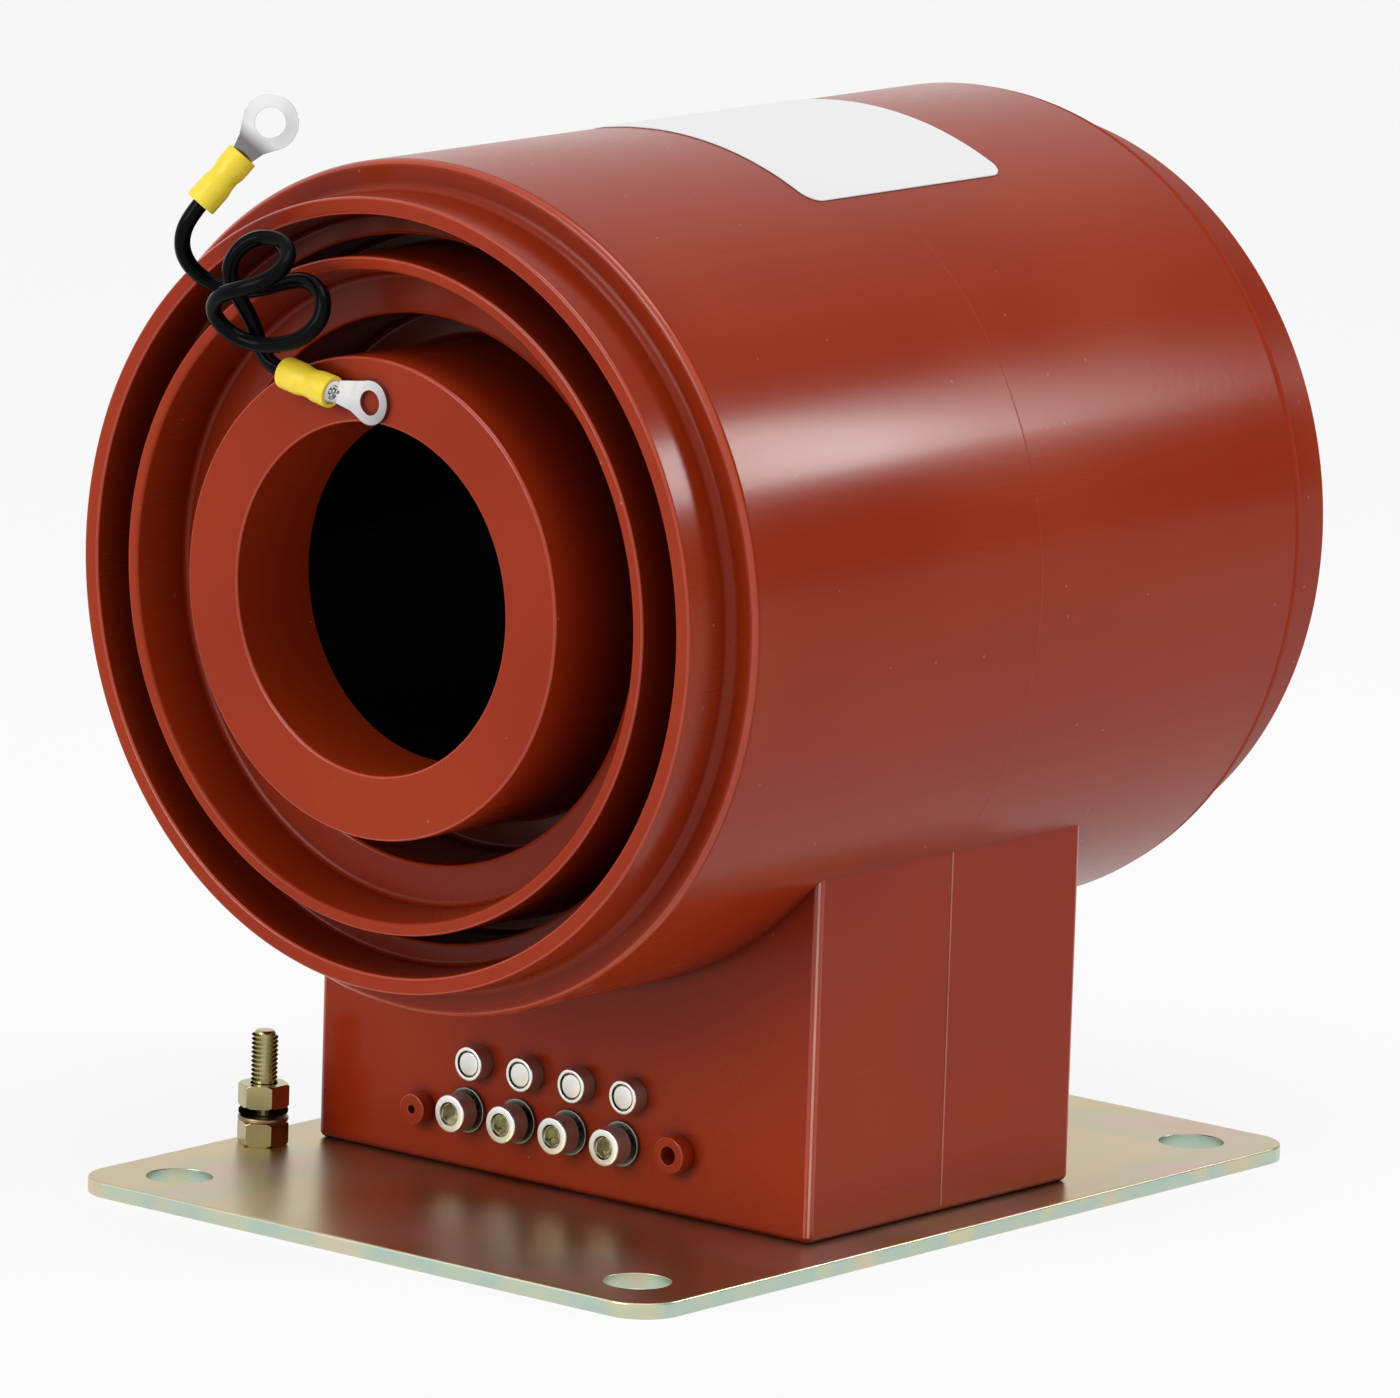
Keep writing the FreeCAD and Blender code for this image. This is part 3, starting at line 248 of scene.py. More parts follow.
def effect(name, inputs, outputs):
    """An empty node group with float inputs and outputs."""
    tree = bpy.data.node_groups.new(name, "ShaderNodeTree")
    for way, sockets in (("INPUT", inputs), ("OUTPUT", outputs)):
        for socket in sockets:
            tree.interface.new_socket(socket, in_out=way, socket_type="NodeSocketFloat")
    given = tree.nodes.new("NodeGroupInput").outputs
    out = tree.nodes.new("NodeGroupOutput").inputs
    return tree, given, out


def make_mottle():
    """Soft patches and a fine grain, for castings, plating and plastic."""
    tree, given, out = effect("mottle", ["Patch Scale", "Grain Scale"], ["Patches", "Grain"])
    place = place_of(tree)
    tree.links.new(noise(tree, place, given["Patch Scale"], 1.0), out["Patches"])
    tree.links.new(noise(tree, place, given["Grain Scale"], 2.0), out["Grain"])
    return tree


def make_hairlines():
    """Thin straight hairlines in two directions, as from handling."""
    tree, _, out = effect("hairlines", [], ["Mask"])
    place = place_of(tree)
    lines = []
    for turn in ((0.3, 0.5, 0.2), (1.1, 0.2, 1.7)):
        drawn_out = add(
            tree, "ShaderNodeMapping",
            {"Vector": place, "Rotation": turn, "Scale": (1.0, HAIR_STRETCH, 1.0)},
        ).outputs[0]
        streaks = noise(tree, drawn_out, HAIR_SCALE, 0.0)
        lines.append(math_node(tree, "GREATER_THAN", streaks, HAIR_LEVEL))
    tree.links.new(math_node(tree, "MAXIMUM", *lines), out["Mask"])
    return tree


def make_specks():
    """A few small pale specks of dust or chipped gloss."""
    tree, _, out = effect("specks", [], ["Mask"])
    cells = add(
        tree, "ShaderNodeTexVoronoi", {"Vector": place_of(tree), "Scale": SPECK_SCALE}
    ).outputs
    near = math_node(tree, "LESS_THAN", cells["Distance"], SPECK_SIZE)
    lot = add(tree, "ShaderNodeSeparateColor", {"Color": cells["Color"]}).outputs[0]
    chosen = math_node(tree, "GREATER_THAN", lot, SPECK_GAPS)
    tree.links.new(math_node(tree, "MULTIPLY", near, chosen), out["Mask"])
    return tree


def make_edges_for_wear_and_light():
    """Where an edge is, from the difference of a rounded and the true normal, for edge wear and
    painted highlights and shade.
    """
    tree, given, out = effect("edges_for_wear_and_light", ["Width"], ["Mask"])
    rounded_off = add(tree, "ShaderNodeBevel", {"Radius": given["Width"]}, samples=6).outputs[0]
    true = tree.nodes.new("ShaderNodeNewGeometry").outputs["Normal"]
    bend = math_node(tree, "SUBTRACT", 1.0, dot(tree, rounded_off, true))
    tree.links.new(math_node(tree, "MULTIPLY", bend, 6.0, clamp=True), out["Mask"])
    return tree


def make_crease_shade():
    """Where two surfaces meet closely, a mask for painted shade."""
    tree, given, out = effect("crease_shade", ["Reach"], ["Mask"])
    nearby = add(tree, "ShaderNodeAmbientOcclusion", {"Distance": given["Reach"]}, samples=6)
    shut = math_node(tree, "SUBTRACT", 1.0, nearby.outputs["AO"])
    tree.links.new(math_node(tree, "MULTIPLY", shut, 1.3, clamp=True), out["Mask"])
    return tree


EFFECTS = {
    "mottle": make_mottle(),
    "hairlines": make_hairlines(),
    "specks": make_specks(),
    "edges_for_wear_and_light": make_edges_for_wear_and_light(),
    "crease_shade": make_crease_shade(),
}


def effect_node(tree, name, **inputs):
    made = tree.nodes.new("ShaderNodeGroup")
    made.node_tree = EFFECTS[name]
    for socket, value in inputs.items():
        made.inputs[socket.replace("_", " ")].default_value = value
    return made.outputs


# Finishes ---------------------------------------------------------------


def finish(
    name, tints, edge_wear_and_light, rough, metal=0.0, level=0.5, coat=0.0, patches=30, grain=900, depth=0.02,
    lines=0.08, edge=0.6, rub=0.35, edge_highlight=None, dress=None,
):
    """A surface with patches of colour, hairlines, a grain and coloured edges, which stand for wear
    and for painted highlight and shade.

    The width of the edges and the depth of the grain are in millimetres. Patches and grain
    are scales of noise. A hairline is rougher by lines, and dress has the last say on colour.
    """
    made = bpy.data.materials.new(name)
    made.use_nodes = True
    tree = made.node_tree
    surface = tree.nodes["Principled BSDF"].inputs
    mottle = effect_node(tree, "mottle", Patch_Scale=patches, Grain_Scale=grain)
    hairs = effect_node(tree, "hairlines")["Mask"]
    rubbed = effect_node(tree, "edges_for_wear_and_light", Width=edge * MM)["Mask"]

    colour = tinted(tree, mottle["Patches"], tints)
    # The edge colour is partly wear; on the resin it is also a painted highlight, and on the tinned
    # terminals painted shade
    colour = blend_colours(tree, math_node(tree, "MULTIPLY", rubbed, rub), colour, edge_wear_and_light)
    # A painted highlight along the sharpest part of each edge
    if edge_highlight:
        colour = blend_colours(tree, math_node(tree, "POWER", rubbed, 3.0), colour, edge_highlight)
    if dress:
        colour = dress(tree, colour)
    tree.links.new(colour, surface["Base Color"])

    roughness = map_range(tree, mottle["Patches"], *PATCH_RANGE, rough * 0.85, rough * 1.15)
    roughness = math_node(tree, "ADD", roughness, math_node(tree, "MULTIPLY", hairs, lines))
    tree.links.new(roughness, surface["Roughness"])
    surface["Metallic"].default_value = metal
    surface["Specular IOR Level"].default_value = level
    surface["Coat Weight"].default_value = coat
    surface["Coat Roughness"].default_value = 0.1

    cut = math_node(tree, "MULTIPLY", hairs, HAIR_CUT * lines / depth)
    height = math_node(tree, "SUBTRACT", math_node(tree, "MULTIPLY", mottle["Grain"], 0.5), cut)
    bump = add(tree, "ShaderNodeBump", {"Height": height, "Strength": 0.5, "Distance": depth * MM})
    tree.links.new(bump.outputs[0], surface["Normal"])
    return made


def cast(tree, colour, hollow_shade=0.75):
    """Resin has pale specks, and is darkened with painted shade in hollows and where two faces
    meet.
    """
    specks = math_node(tree, "MULTIPLY", effect_node(tree, "specks")["Mask"], 0.35)
    colour = blend_colours(tree, specks, colour, RESIN_SPECK)
    # Painted shade: wide in hollows, close in tight creases
    for reach, share in ((0.018, hollow_shade), (0.0025, 0.75)):
        crease_shade = effect_node(tree, "crease_shade", Reach=reach)["Mask"]
        shade = math_node(tree, "MULTIPLY", crease_shade, share)
        colour = blend_colours(tree, shade, colour, RESIN_PAINTED_SHADE)
    return colour


def cast_pedestal(tree, colour):
    """The same resin, with less painted shade in its hollows under the drum."""
    return cast(tree, colour, 0.36)


def cast_with_window(tree, colour):
    """The same resin, with the black coat in the window."""
    colour = cast(tree, colour)
    place = add(tree, "ShaderNodeSeparateXYZ", {"Vector": place_of(tree)}).outputs
    rise = math_node(tree, "SUBTRACT", place["Z"], AXIS_HEIGHT * MM)
    rise_squared = math_node(tree, "MULTIPLY", rise, rise)
    across_squared = math_node(tree, "MULTIPLY", place["X"], place["X"])
    away = math_node(tree, "SQRT", math_node(tree, "ADD", across_squared, rise_squared))
    in_window = math_node(tree, "LESS_THAN", away, COAT_RADIUS * MM)
    depth = math_node(tree, "ABSOLUTE", place["Y"])
    between = math_node(tree, "LESS_THAN", depth, COAT_END * MM)
    coated = math_node(tree, "MULTIPLY", in_window, between)
    return blend_colours(tree, coated, colour, COAT_BLACK)


def shaded_ring(end, near, far, shade):
    """A dress that paints shade on a ring terminal, from near to far along it in millimetres."""
    ring = LEAD_ENDS[end]
    centre = [c * MM for c in ring["centre"]]

    def dress(tree, colour):
        offset = add(
            tree, "ShaderNodeVectorMath", {0: place_of(tree), 1: centre}, operation="SUBTRACT"
        ).outputs["Vector"]
        way = dot(tree, offset, ring["along"])
        share = map_range(tree, way, near * MM, far * MM, 0.0, 0.85)
        return blend_colours(tree, share, colour, shade)

    return dress


CASTING = dict(edge_wear_and_light=RESIN_EDGE_WEAR_AND_HIGHLIGHT, patches=16, grain=520, depth=0.07, lines=0.02, edge=0.45)
# On the satin resin, the paler edges and the pale lips paint a highlight along every edge
SATIN_CASTING = dict(
    CASTING, tints=RESIN, rough=0.24, level=0.14, coat=0.04, rub=0.8, edge_highlight=RESIN_PAINTED_HIGHLIGHT
)
SMALL_METAL = dict(metal=1.0, patches=160, grain=2500, depth=0.01)
# The tinning's darker edges are painted shade
TINNED = dict(
    tints=[(0.56, 0.55, 0.56), (0.84, 0.83, 0.83), (0.94, 0.93, 0.93)], edge_wear_and_light=(0.4, 0.33, 0.31),
    rough=0.2, metal=1.0, patches=70, grain=2500, depth=0.01, edge=0.3,
)

LOOKS = {
    "resin": dict(SATIN_CASTING, dress=cast_pedestal),
    "plate_steel": dict(
        tints=PASSIVATED, edge_wear_and_light=(0.66, 0.56, 0.38), rough=0.35, metal=1.0,
        patches=22, grain=1500, lines=0.003, edge=0.3, rub=0.4,
    ),
    "screen_copper": dict(
        tints=[(0.6, 0.28, 0.16), (0.75, 0.4, 0.25)], edge_wear_and_light=(0.85, 0.5, 0.35), rough=0.3, metal=1.0,
    ),
    "core_steel": dict(
        tints=[(0.35, 0.35, 0.37), (0.5, 0.5, 0.52)], edge_wear_and_light=(0.6, 0.6, 0.6), rough=0.35, metal=1.0,
    ),
    "winding_copper": dict(
        tints=[(0.4, 0.14, 0.06), (0.55, 0.22, 0.1)], edge_wear_and_light=(0.7, 0.3, 0.2), rough=0.35, metal=1.0,
    ),
    "lead_insulation": dict(
        tints=[(0.6, 0.56, 0.44), (0.75, 0.7, 0.58)], edge_wear_and_light=(0.8, 0.78, 0.7), rough=0.7,
    ),
    "insert_brass": dict(
        tints=[(0.6, 0.42, 0.14), (0.75, 0.55, 0.22)], edge_wear_and_light=(0.85, 0.7, 0.4), rough=0.3, metal=1.0,
    ),
    "screw_steel": dict(
        SMALL_METAL, tints=[(0.8, 0.8, 0.77), (0.88, 0.88, 0.86)], edge_wear_and_light=(0.95, 0.95, 0.93),
        rough=0.3, edge=0.25, rub=0.6,
    ),
    "cap_steel": dict(
        tints=[(0.74, 0.74, 0.73), (0.84, 0.84, 0.83)], edge_wear_and_light=(0.92, 0.92, 0.9), rough=0.36,
        metal=1.0, patches=200, grain=3000, edge=0.2,
    ),
    "passivated_steel": dict(
        tints=[(0.42, 0.34, 0.17), (0.38, 0.35, 0.19), (0.52, 0.42, 0.24)],
        edge_wear_and_light=(0.95, 0.86, 0.64), rough=0.17, metal=1.0, patches=140, grain=2500, depth=0.01,
        edge=0.25, rub=0.7,
    ),
    "label_white": dict(
        tints=[(0.89, 0.89, 0.9), (0.92, 0.92, 0.92)], edge_wear_and_light=(0.94, 0.94, 0.94), rough=0.45,
        grain=1800, depth=0.01, edge=0.2,
    ),
    "wire_black": dict(
        tints=[(0.0015, 0.0017, 0.0024), (0.0028, 0.0032, 0.004)], edge_wear_and_light=(0.006, 0.0065, 0.008),
        rough=0.1, level=0.05, patches=120, grain=2500, depth=0.01, lines=0.03, rub=0.05,
    ),
    "sleeve_yellow": dict(
        tints=[(0.94, 0.68, 0.035), (0.96, 0.74, 0.05)], edge_wear_and_light=(0.95, 0.8, 0.16), rough=0.34,
        level=0.4, patches=150, grain=2500, depth=0.01, edge=0.3,
    ),
    "tinned_copper": TINNED,
    # Painted shade: the lower ring darkens across it, and the upper one at its neck
    "tinned_copper_lower": dict(
        TINNED, rub=0.75, dress=shaded_ring("lower", 3.5, -5.5, (0.3, 0.27, 0.28))
    ),
    "tinned_copper_upper": dict(
        TINNED, rub=0.75, dress=shaded_ring("upper", 3.2, 6.2, (0.11, 0.1, 0.105))
    ),
    "drum_resin": dict(SATIN_CASTING, dress=cast_with_window),
    "shoulder_resin": dict(CASTING, tints=RESIN, rough=0.6, level=0.03, rub=0.0, dress=cast),
    # Edge roundings: brighter resin and pale lips, a painted highlight, under a glossier coat
    "glossy_highlit_resin": dict(
        CASTING, tints=[(0.42, 0.036, 0.007), (0.48, 0.046, 0.01)], rough=0.18, level=0.3,
        coat=0.45, rub=0.3, edge_highlight=RESIN_PAINTED_HIGHLIGHT, dress=cast_pedestal,
    ),
    # The middle of each rounded upright edge of the pedestal: a painted highlight
    "painted_highlight_resin": dict(
        tints=[(0.66, 0.3, 0.22), (0.76, 0.4, 0.32)], edge_wear_and_light=RESIN_PAINTED_HIGHLIGHT, rough=0.25, level=0.3,
        coat=0.3, patches=60, edge=0.2,
    ),
    "parting_resin": dict(
        tints=[(0.46, 0.14, 0.09), (0.54, 0.19, 0.13)], edge_wear_and_light=RESIN_PAINTED_HIGHLIGHT, rough=0.3, level=0.2,
        edge=0.2, rub=0.1,
    ),
    # The screw heads' sides: a darker copy of their steel, painted shade
    "screw_head_side_shaded": dict(
        SMALL_METAL, tints=[(0.44, 0.43, 0.41), (0.56, 0.54, 0.52)], edge_wear_and_light=(0.86, 0.86, 0.84),
        rough=0.36, metal=0.85, edge=0.25, rub=0.7,
    ),
    # Dark steel of the flat washers, also painted shade in the screws' socket mouths and round the
    # plugs
    "washer_steel": dict(
        SMALL_METAL, tints=[(0.2, 0.21, 0.18), (0.32, 0.33, 0.28)], edge_wear_and_light=(0.86, 0.86, 0.8),
        rough=0.3, edge=0.16, rub=0.75,
    ),
    "spring_steel": dict(
        SMALL_METAL, tints=[(0.66, 0.66, 0.63), (0.8, 0.8, 0.77)], edge_wear_and_light=(0.95, 0.95, 0.93),
        rough=0.38, edge=0.16, rub=0.75,
    ),
    "earth_washer_steel": dict(
        SMALL_METAL, tints=[(0.2, 0.13, 0.08), (0.32, 0.22, 0.14)], edge_wear_and_light=(0.5, 0.4, 0.26),
        rough=0.3, edge=0.2, rub=0.3,
    ),
    # Inside the hexagon sockets: darker steel, painted shade
    "socket_steel": dict(
        tints=[(0.3, 0.3, 0.2), (0.6, 0.6, 0.42)], edge_wear_and_light=(0.9, 0.9, 0.78), rough=0.14, metal=1.0,
        patches=400, edge=0.15, rub=0.5,
    ),
    "plate_edge_steel": dict(
        tints=PASSIVATED_EDGE, edge_wear_and_light=(0.78, 0.74, 0.56), rough=0.3, metal=1.0, patches=60,
        grain=1500, lines=0.03, edge=0.3, rub=0.5,
    ),
}
FINISHES = {name: finish(name, **look) for name, look in LOOKS.items()}

SLOT_OF = {part["node"]: part["material_slot"] for part in frame["record"]["subparts"]}
for name, part in frame["nodes"].items():
    for slot in part.material_slots:
        slot.material = FINISHES[SLOT_OF[name]]


# Shaping, in millimetres ------------------------------------------------


def rounded(shape, geom, width, segments=4, affect="EDGES"):
    bmesh.ops.bevel(
        shape, geom=geom, offset=width, offset_type="OFFSET", segments=segments, profile=0.5,
        affect=affect, material=-1, clamp_overlap=True,
    )


def welded(shape):
    bmesh.ops.remove_doubles(shape, verts=shape.verts, dist=0.0001)
    bmesh.ops.recalc_face_normals(shape, faces=shape.faces)
    return shape


def turned(corners, steps, closed=False):
    """Spins corners (radius, height, rounding) round the part's own Z."""
    shape = bmesh.new()
    points = [shape.verts.new((radius, 0, height)) for radius, height, _ in corners]
    for start, end in zip(points, points[1:] + (points[:1] if closed else [])):
        shape.edges.new((start, end))
    for point, (_, _, rounding) in zip(points, corners):
        if rounding:
            rounded(shape, [point], rounding, affect="VERTICES")
    bmesh.ops.spin(
        shape, geom=shape.verts[:] + shape.edges[:], cent=(0, 0, 0), axis=(0, 0, 1),
        dvec=(0, 0, 0), angle=FULL_TURN, steps=steps, use_merge=True, use_duplicate=False,
    )
    return welded(shape)


def swept(shape, turns, rise, steps):
    """Sweeps a shape's faces round Z and upwards, with closed ends."""
    bmesh.ops.spin(
        shape, geom=shape.faces[:], cent=(0, 0, 0), axis=(0, 0, 1), dvec=(0, 0, rise / steps),
        angle=FULL_TURN * turns, steps=steps, use_merge=False, use_duplicate=True,
    )
    return welded(shape)


def split_ring(inner, outer, height, rise, steps, start, soft):
    """A split washer with softened edges, whose gap begins at start degrees."""
    shape = bmesh.new()
    section = ((inner, 0, 0), (outer, 0, 0), (outer, 0, height), (inner, 0, height))
    corners = [shape.verts.new(c) for c in section]
    shape.faces.new(corners)
    rounded(shape, corners, soft, 3, "VERTICES")
    turn = Matrix.Rotation(math.radians(start), 3, "Z")
    bmesh.ops.rotate(shape, verts=shape.verts, cent=(0, 0, 0), matrix=turn)
    return swept(shape, 0.965, rise, steps)


def block(width, depth, bottom, top):
    shape = bmesh.new()
    bmesh.ops.create_cube(shape, size=1)
    bmesh.ops.scale(shape, vec=(width, depth, top - bottom), verts=shape.verts)
    bmesh.ops.translate(shape, vec=(0, 0, (bottom + top) / 2), verts=shape.verts)
    return shape


def shape_of(mesh):
    """A mesh in metres as a shape in millimetres."""
    shape = bmesh.new()
    shape.from_mesh(mesh)
    bmesh.ops.scale(shape, vec=(1 / MM, 1 / MM, 1 / MM), verts=shape.verts)
    return shape


def mesh_of(shape, name, place=None):
    """A shape in millimetres as a mesh in metres, moved to its place."""
    if place is not None:
        bmesh.ops.transform(shape, matrix=place, verts=shape.verts)
    bmesh.ops.scale(shape, vec=(MM, MM, MM), verts=shape.verts)
    mesh = bpy.data.meshes.new(name)
    shape.to_mesh(mesh)
    shape.free()
    return mesh


def softened(node, width, angle=25):
    """A CAD node with its facets merged and its edges over so many degrees rounded."""
    merged = 0.002
    shape = shape_of(frame["nodes"][node].data)
    bmesh.ops.remove_doubles(shape, verts=shape.verts, dist=merged)
    bmesh.ops.dissolve_limit(
        shape, angle_limit=math.radians(0.4), use_dissolve_boundaries=False, verts=shape.verts,
        edges=shape.edges, delimit=set(),
    )
    least = math.radians(angle)
    sharp = [e for e in shape.edges if e.is_manifold and e.calc_face_angle() > least]
    rounded(shape, sharp, width, 3)
    bmesh.ops.remove_doubles(shape, verts=shape.verts, dist=merged)
    return shape


def upright_edges(shape):
    return [e for e in shape.edges if abs(e.verts[0].co.z - e.verts[1].co.z) > 50]


def on_rounding(face):
    """Whether a face belongs to the rounding of an outer edge."""
    bends = sorted(e.calc_face_angle_signed() for e in face.edges if e.is_manifold)
    return sum(bends[-2:]) > math.radians(40)


def place_on_axis(face):
    """How far a face is from the part's own Z axis, and how high."""
    middle = face.calc_center_median()
    return math.hypot(middle.x, middle.y), middle.z


def mark(shape, zones):
    """Gives each face the number of the first zone (from, to radius, below height) it is in."""
    for face in shape.faces:
        away, height = place_on_axis(face)
        for number, (inner, outer, top) in enumerate(zones, 1):
            if inner <= away < outer and height < top:
                face.material_index = number
                break


def on_front(x, y, z):
    """Turns a part's own +Z to the front and moves it there."""
    return Matrix.Translation((x, y, z)) @ Matrix.Rotation(math.radians(90), 4, "X")


def on_earth_bolt(z):
    return Matrix.Translation((*EARTH_BOLT, z))


def along_barrel(end):
    """Turns a part's own +Z along a terminal's barrel and moves it to the barrel's start."""
    ring = LEAD_ENDS[end]
    along = Vector(ring["along"])
    off = Vector(ring["off"])
    place = Matrix((off, along.cross(off), along)).transposed().to_4x4()
    place.translation = Vector(ring["centre"]) + off * BARREL_LIFT + along * ring["start"]
    return place


# Pieces -----------------------------------------------------------------


def placed(name, data):
    """An object in the scene."""
    thing = bpy.data.objects.new(name, data)
    bpy.context.collection.objects.link(thing)
    return thing


def without(name, mesh, cutters):
    """The mesh with the cutters taken out of it."""
    body = placed(name + "_blank", mesh)
    spare = [body]
    for cutter in cutters:
        tool = placed(name + "_cutter", cutter)
        cut = body.modifiers.new("cut", "BOOLEAN")
        cut.operation = "DIFFERENCE"
        cut.solver = "EXACT"
        cut.object = tool
        spare.append(tool)
    bpy.context.view_layer.update()
    ready = body.evaluated_get(bpy.context.evaluated_depsgraph_get())
    result = bpy.data.meshes.new_from_object(ready)
    for thing in spare:
        bpy.data.objects.remove(thing)
    return result


def show(name, mesh, slot, nodes=(), smooth=35, finishes=()):
    """A finished piece on the fixed body, in place of its CAD nodes."""
    for material in finishes or (slot,):
        mesh.materials.append(FINISHES[material])
    mesh.shade_smooth()
    mesh.set_sharp_from_angle(angle=math.radians(smooth))
    piece = placed(name, mesh)
    even = piece.modifiers.new("even_shading", "WEIGHTED_NORMAL")
    even.keep_sharp = True
    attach(piece, "root")
    if nodes:
        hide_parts(*nodes)
    return piece


# Loose lead with its sleeves and ring terminals -------------------------


def make_sleeve(end):
    mesh = mesh_of(turned(SLEEVE, 72, closed=True), "sleeve", along_barrel(end))
    return show(f"sleeve_{end}", mesh, "sleeve_yellow", [f"lead_sleeve_{end}"], smooth=50)


def make_ring_terminal(end):
    """The stamped terminal, with an open barrel end and the lead's strands in it."""
    blank = mesh_of(softened(f"ring_terminal_{end}", 0.2, 30), "terminal_blank")
    mouth = turned([(0, -0.4, 0), (1.6, -0.4, 0), (1.6, 1.6, 0), (0, 1.6, 0)], 32)
    terminal = show(
        f"ring_and_barrel_{end}",
        without("ring_terminal", blank, [mesh_of(mouth, "mouth", along_barrel(end))]),
        "tinned_copper", [f"ring_terminal_{end}"], finishes=[f"tinned_copper_{end}"],
    )
    strands = bmesh.new()
    around, height = 1.02, 1.2
    places = [
        (around * math.cos(turn), around * math.sin(turn), height)
        for turn in (FULL_TURN * number / 6 for number in range(6))
    ]
    for place in places + [(0, 0, height)]:
        bmesh.ops.create_cone(
            strands, cap_ends=True, segments=14, radius1=0.36, radius2=0.48, depth=0.9,
            matrix=Matrix.Translation(place),
        )
    bundle = show(
        f"strands_{end}", mesh_of(strands, "strands", along_barrel(end)), "tinned_copper"
    )
    return [terminal, bundle]


def make_lead():
    curve = bpy.data.curves.new("lead", "CURVE")
    curve.dimensions = "3D"
    line = curve.splines.new("NURBS")
    line.points.add(len(LEAD_ROUTE) - 1)
    for point, (x, y, z) in zip(line.points, LEAD_ROUTE):
        point.co = (x * MM, y * MM, z * MM, 1)
    line.order_u = 3
    line.use_endpoint_u = True
    line.resolution_u = 8
    curve.bevel_depth = LEAD_RADIUS * MM
    curve.bevel_resolution = 5
    curve.use_fill_caps = True
    curve.materials.append(FINISHES["wire_black"])
    lead = placed("lead", curve)
    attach(lead, "root")
    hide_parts("lead_wire")
    on_lead = []
    for end in LEAD_ENDS:
        on_lead += [make_sleeve(end), *make_ring_terminal(end)]


# Casting ----------------------------------------------------------------


def make_drum():
    back = [(radius, -height, rounding) for radius, height, rounding in DRUM_END[::-1]]
    back[-2:] = BACK_SHOULDER
    shape = turned(DRUM_END + back + DRUM_PARTING, 224, closed=True)
    # Roundings take the brighter glossy resin with pale lips, a painted highlight
    for face in shape.faces:
        away, height = place_on_axis(face)
        if -95.45 < height < -89 and away > 85.6:
            face.material_index = 2
        elif on_rounding(face) and abs(height) > 1:
            face.material_index = 1
    show(
        "drum", mesh_of(shape, "drum", on_front(0, 0, AXIS_HEIGHT)), "resin", ["resin_body"],
        finishes=["drum_resin", "glossy_highlit_resin", "shoulder_resin"],
    )


def bore(x, z, radius, depth, steps):
    """A round cutter into the pedestal's front."""
    shape = turned([(0, -depth, 0), (radius, -depth, 0), (radius, 1, 0), (0, 1, 0)], steps)
    return mesh_of(shape, "bore", on_front(x, PEDESTAL_FRONT, z))


def make_pedestal():
    """The pedestal with its holes, and a painted highlight along each of its upright edges."""
    bottom, top = 3.5, 86
    shape = block(PEDESTAL_WIDTH, PEDESTAL_DEPTH, bottom, top)
    rounded(shape, upright_edges(shape), 1.6, 5)
    lowest = [e for e in shape.edges if max(v.co.z for v in e.verts) < bottom + 0.5]
    rounded(shape, lowest, 1.6)
    holes = [bore(x, z, radius, 5, 32) for x, z, _, radius in COVER_BOSSES.values()]
    holes += [bore(x, TERMINAL_HEIGHT, 4.0, 18, 48) for x in TERMINAL_ROW]
    holes += [bore(x, LINK_HEIGHT, 3.5, 18, 48) for x in LINK_ROW]
    shape = shape_of(without("pedestal", mesh_of(shape, "pedestal_blank"), holes))
    # Rounded upright edges: a pale middle and brighter glossy resin beside it, a painted highlight
    for face in shape.faces:
        if abs(face.normal.z) < 0.01 and 0.1 < abs(face.normal.x) < 0.995:
            face.material_index = 1 if 0.6 < abs(face.normal.x) < 0.8 else 2
    show(
        "pedestal", mesh_of(shape, "pedestal"), "resin", ["resin_body"],
        finishes=["resin", "painted_highlight_resin", "glossy_highlit_resin"],
    )
    ridge = block(PEDESTAL_WIDTH + 0.3, 0.5, 5.2, 84)
    rounded(ridge, upright_edges(ridge), 0.14, 3)
    show(
        "pedestal_parting_line", mesh_of(ridge, "ridge"), "resin", ["resin_body"],
        finishes=["parting_resin"],
    )


def make_cover_boss(side):
    x, z, outer, hole = COVER_BOSSES[side]
    shape = turned(
        [(hole, -0.5, 0), (hole, 4, 0.25), (outer, 4, 0.5), (outer, -0.5, 0)], 48, closed=True
    )
    # The rounded rim takes the brighter glossy resin with pale lips, a painted highlight
    for face in shape.faces:
        face.material_index = int(on_rounding(face))
    show(
        f"cover_boss_{side}", mesh_of(shape, "boss", on_front(x, PEDESTAL_FRONT, z)), "resin",
        ["resin_body"], finishes=["resin", "glossy_highlit_resin"],
    )


# Secondary terminals ----------------------------------------------------


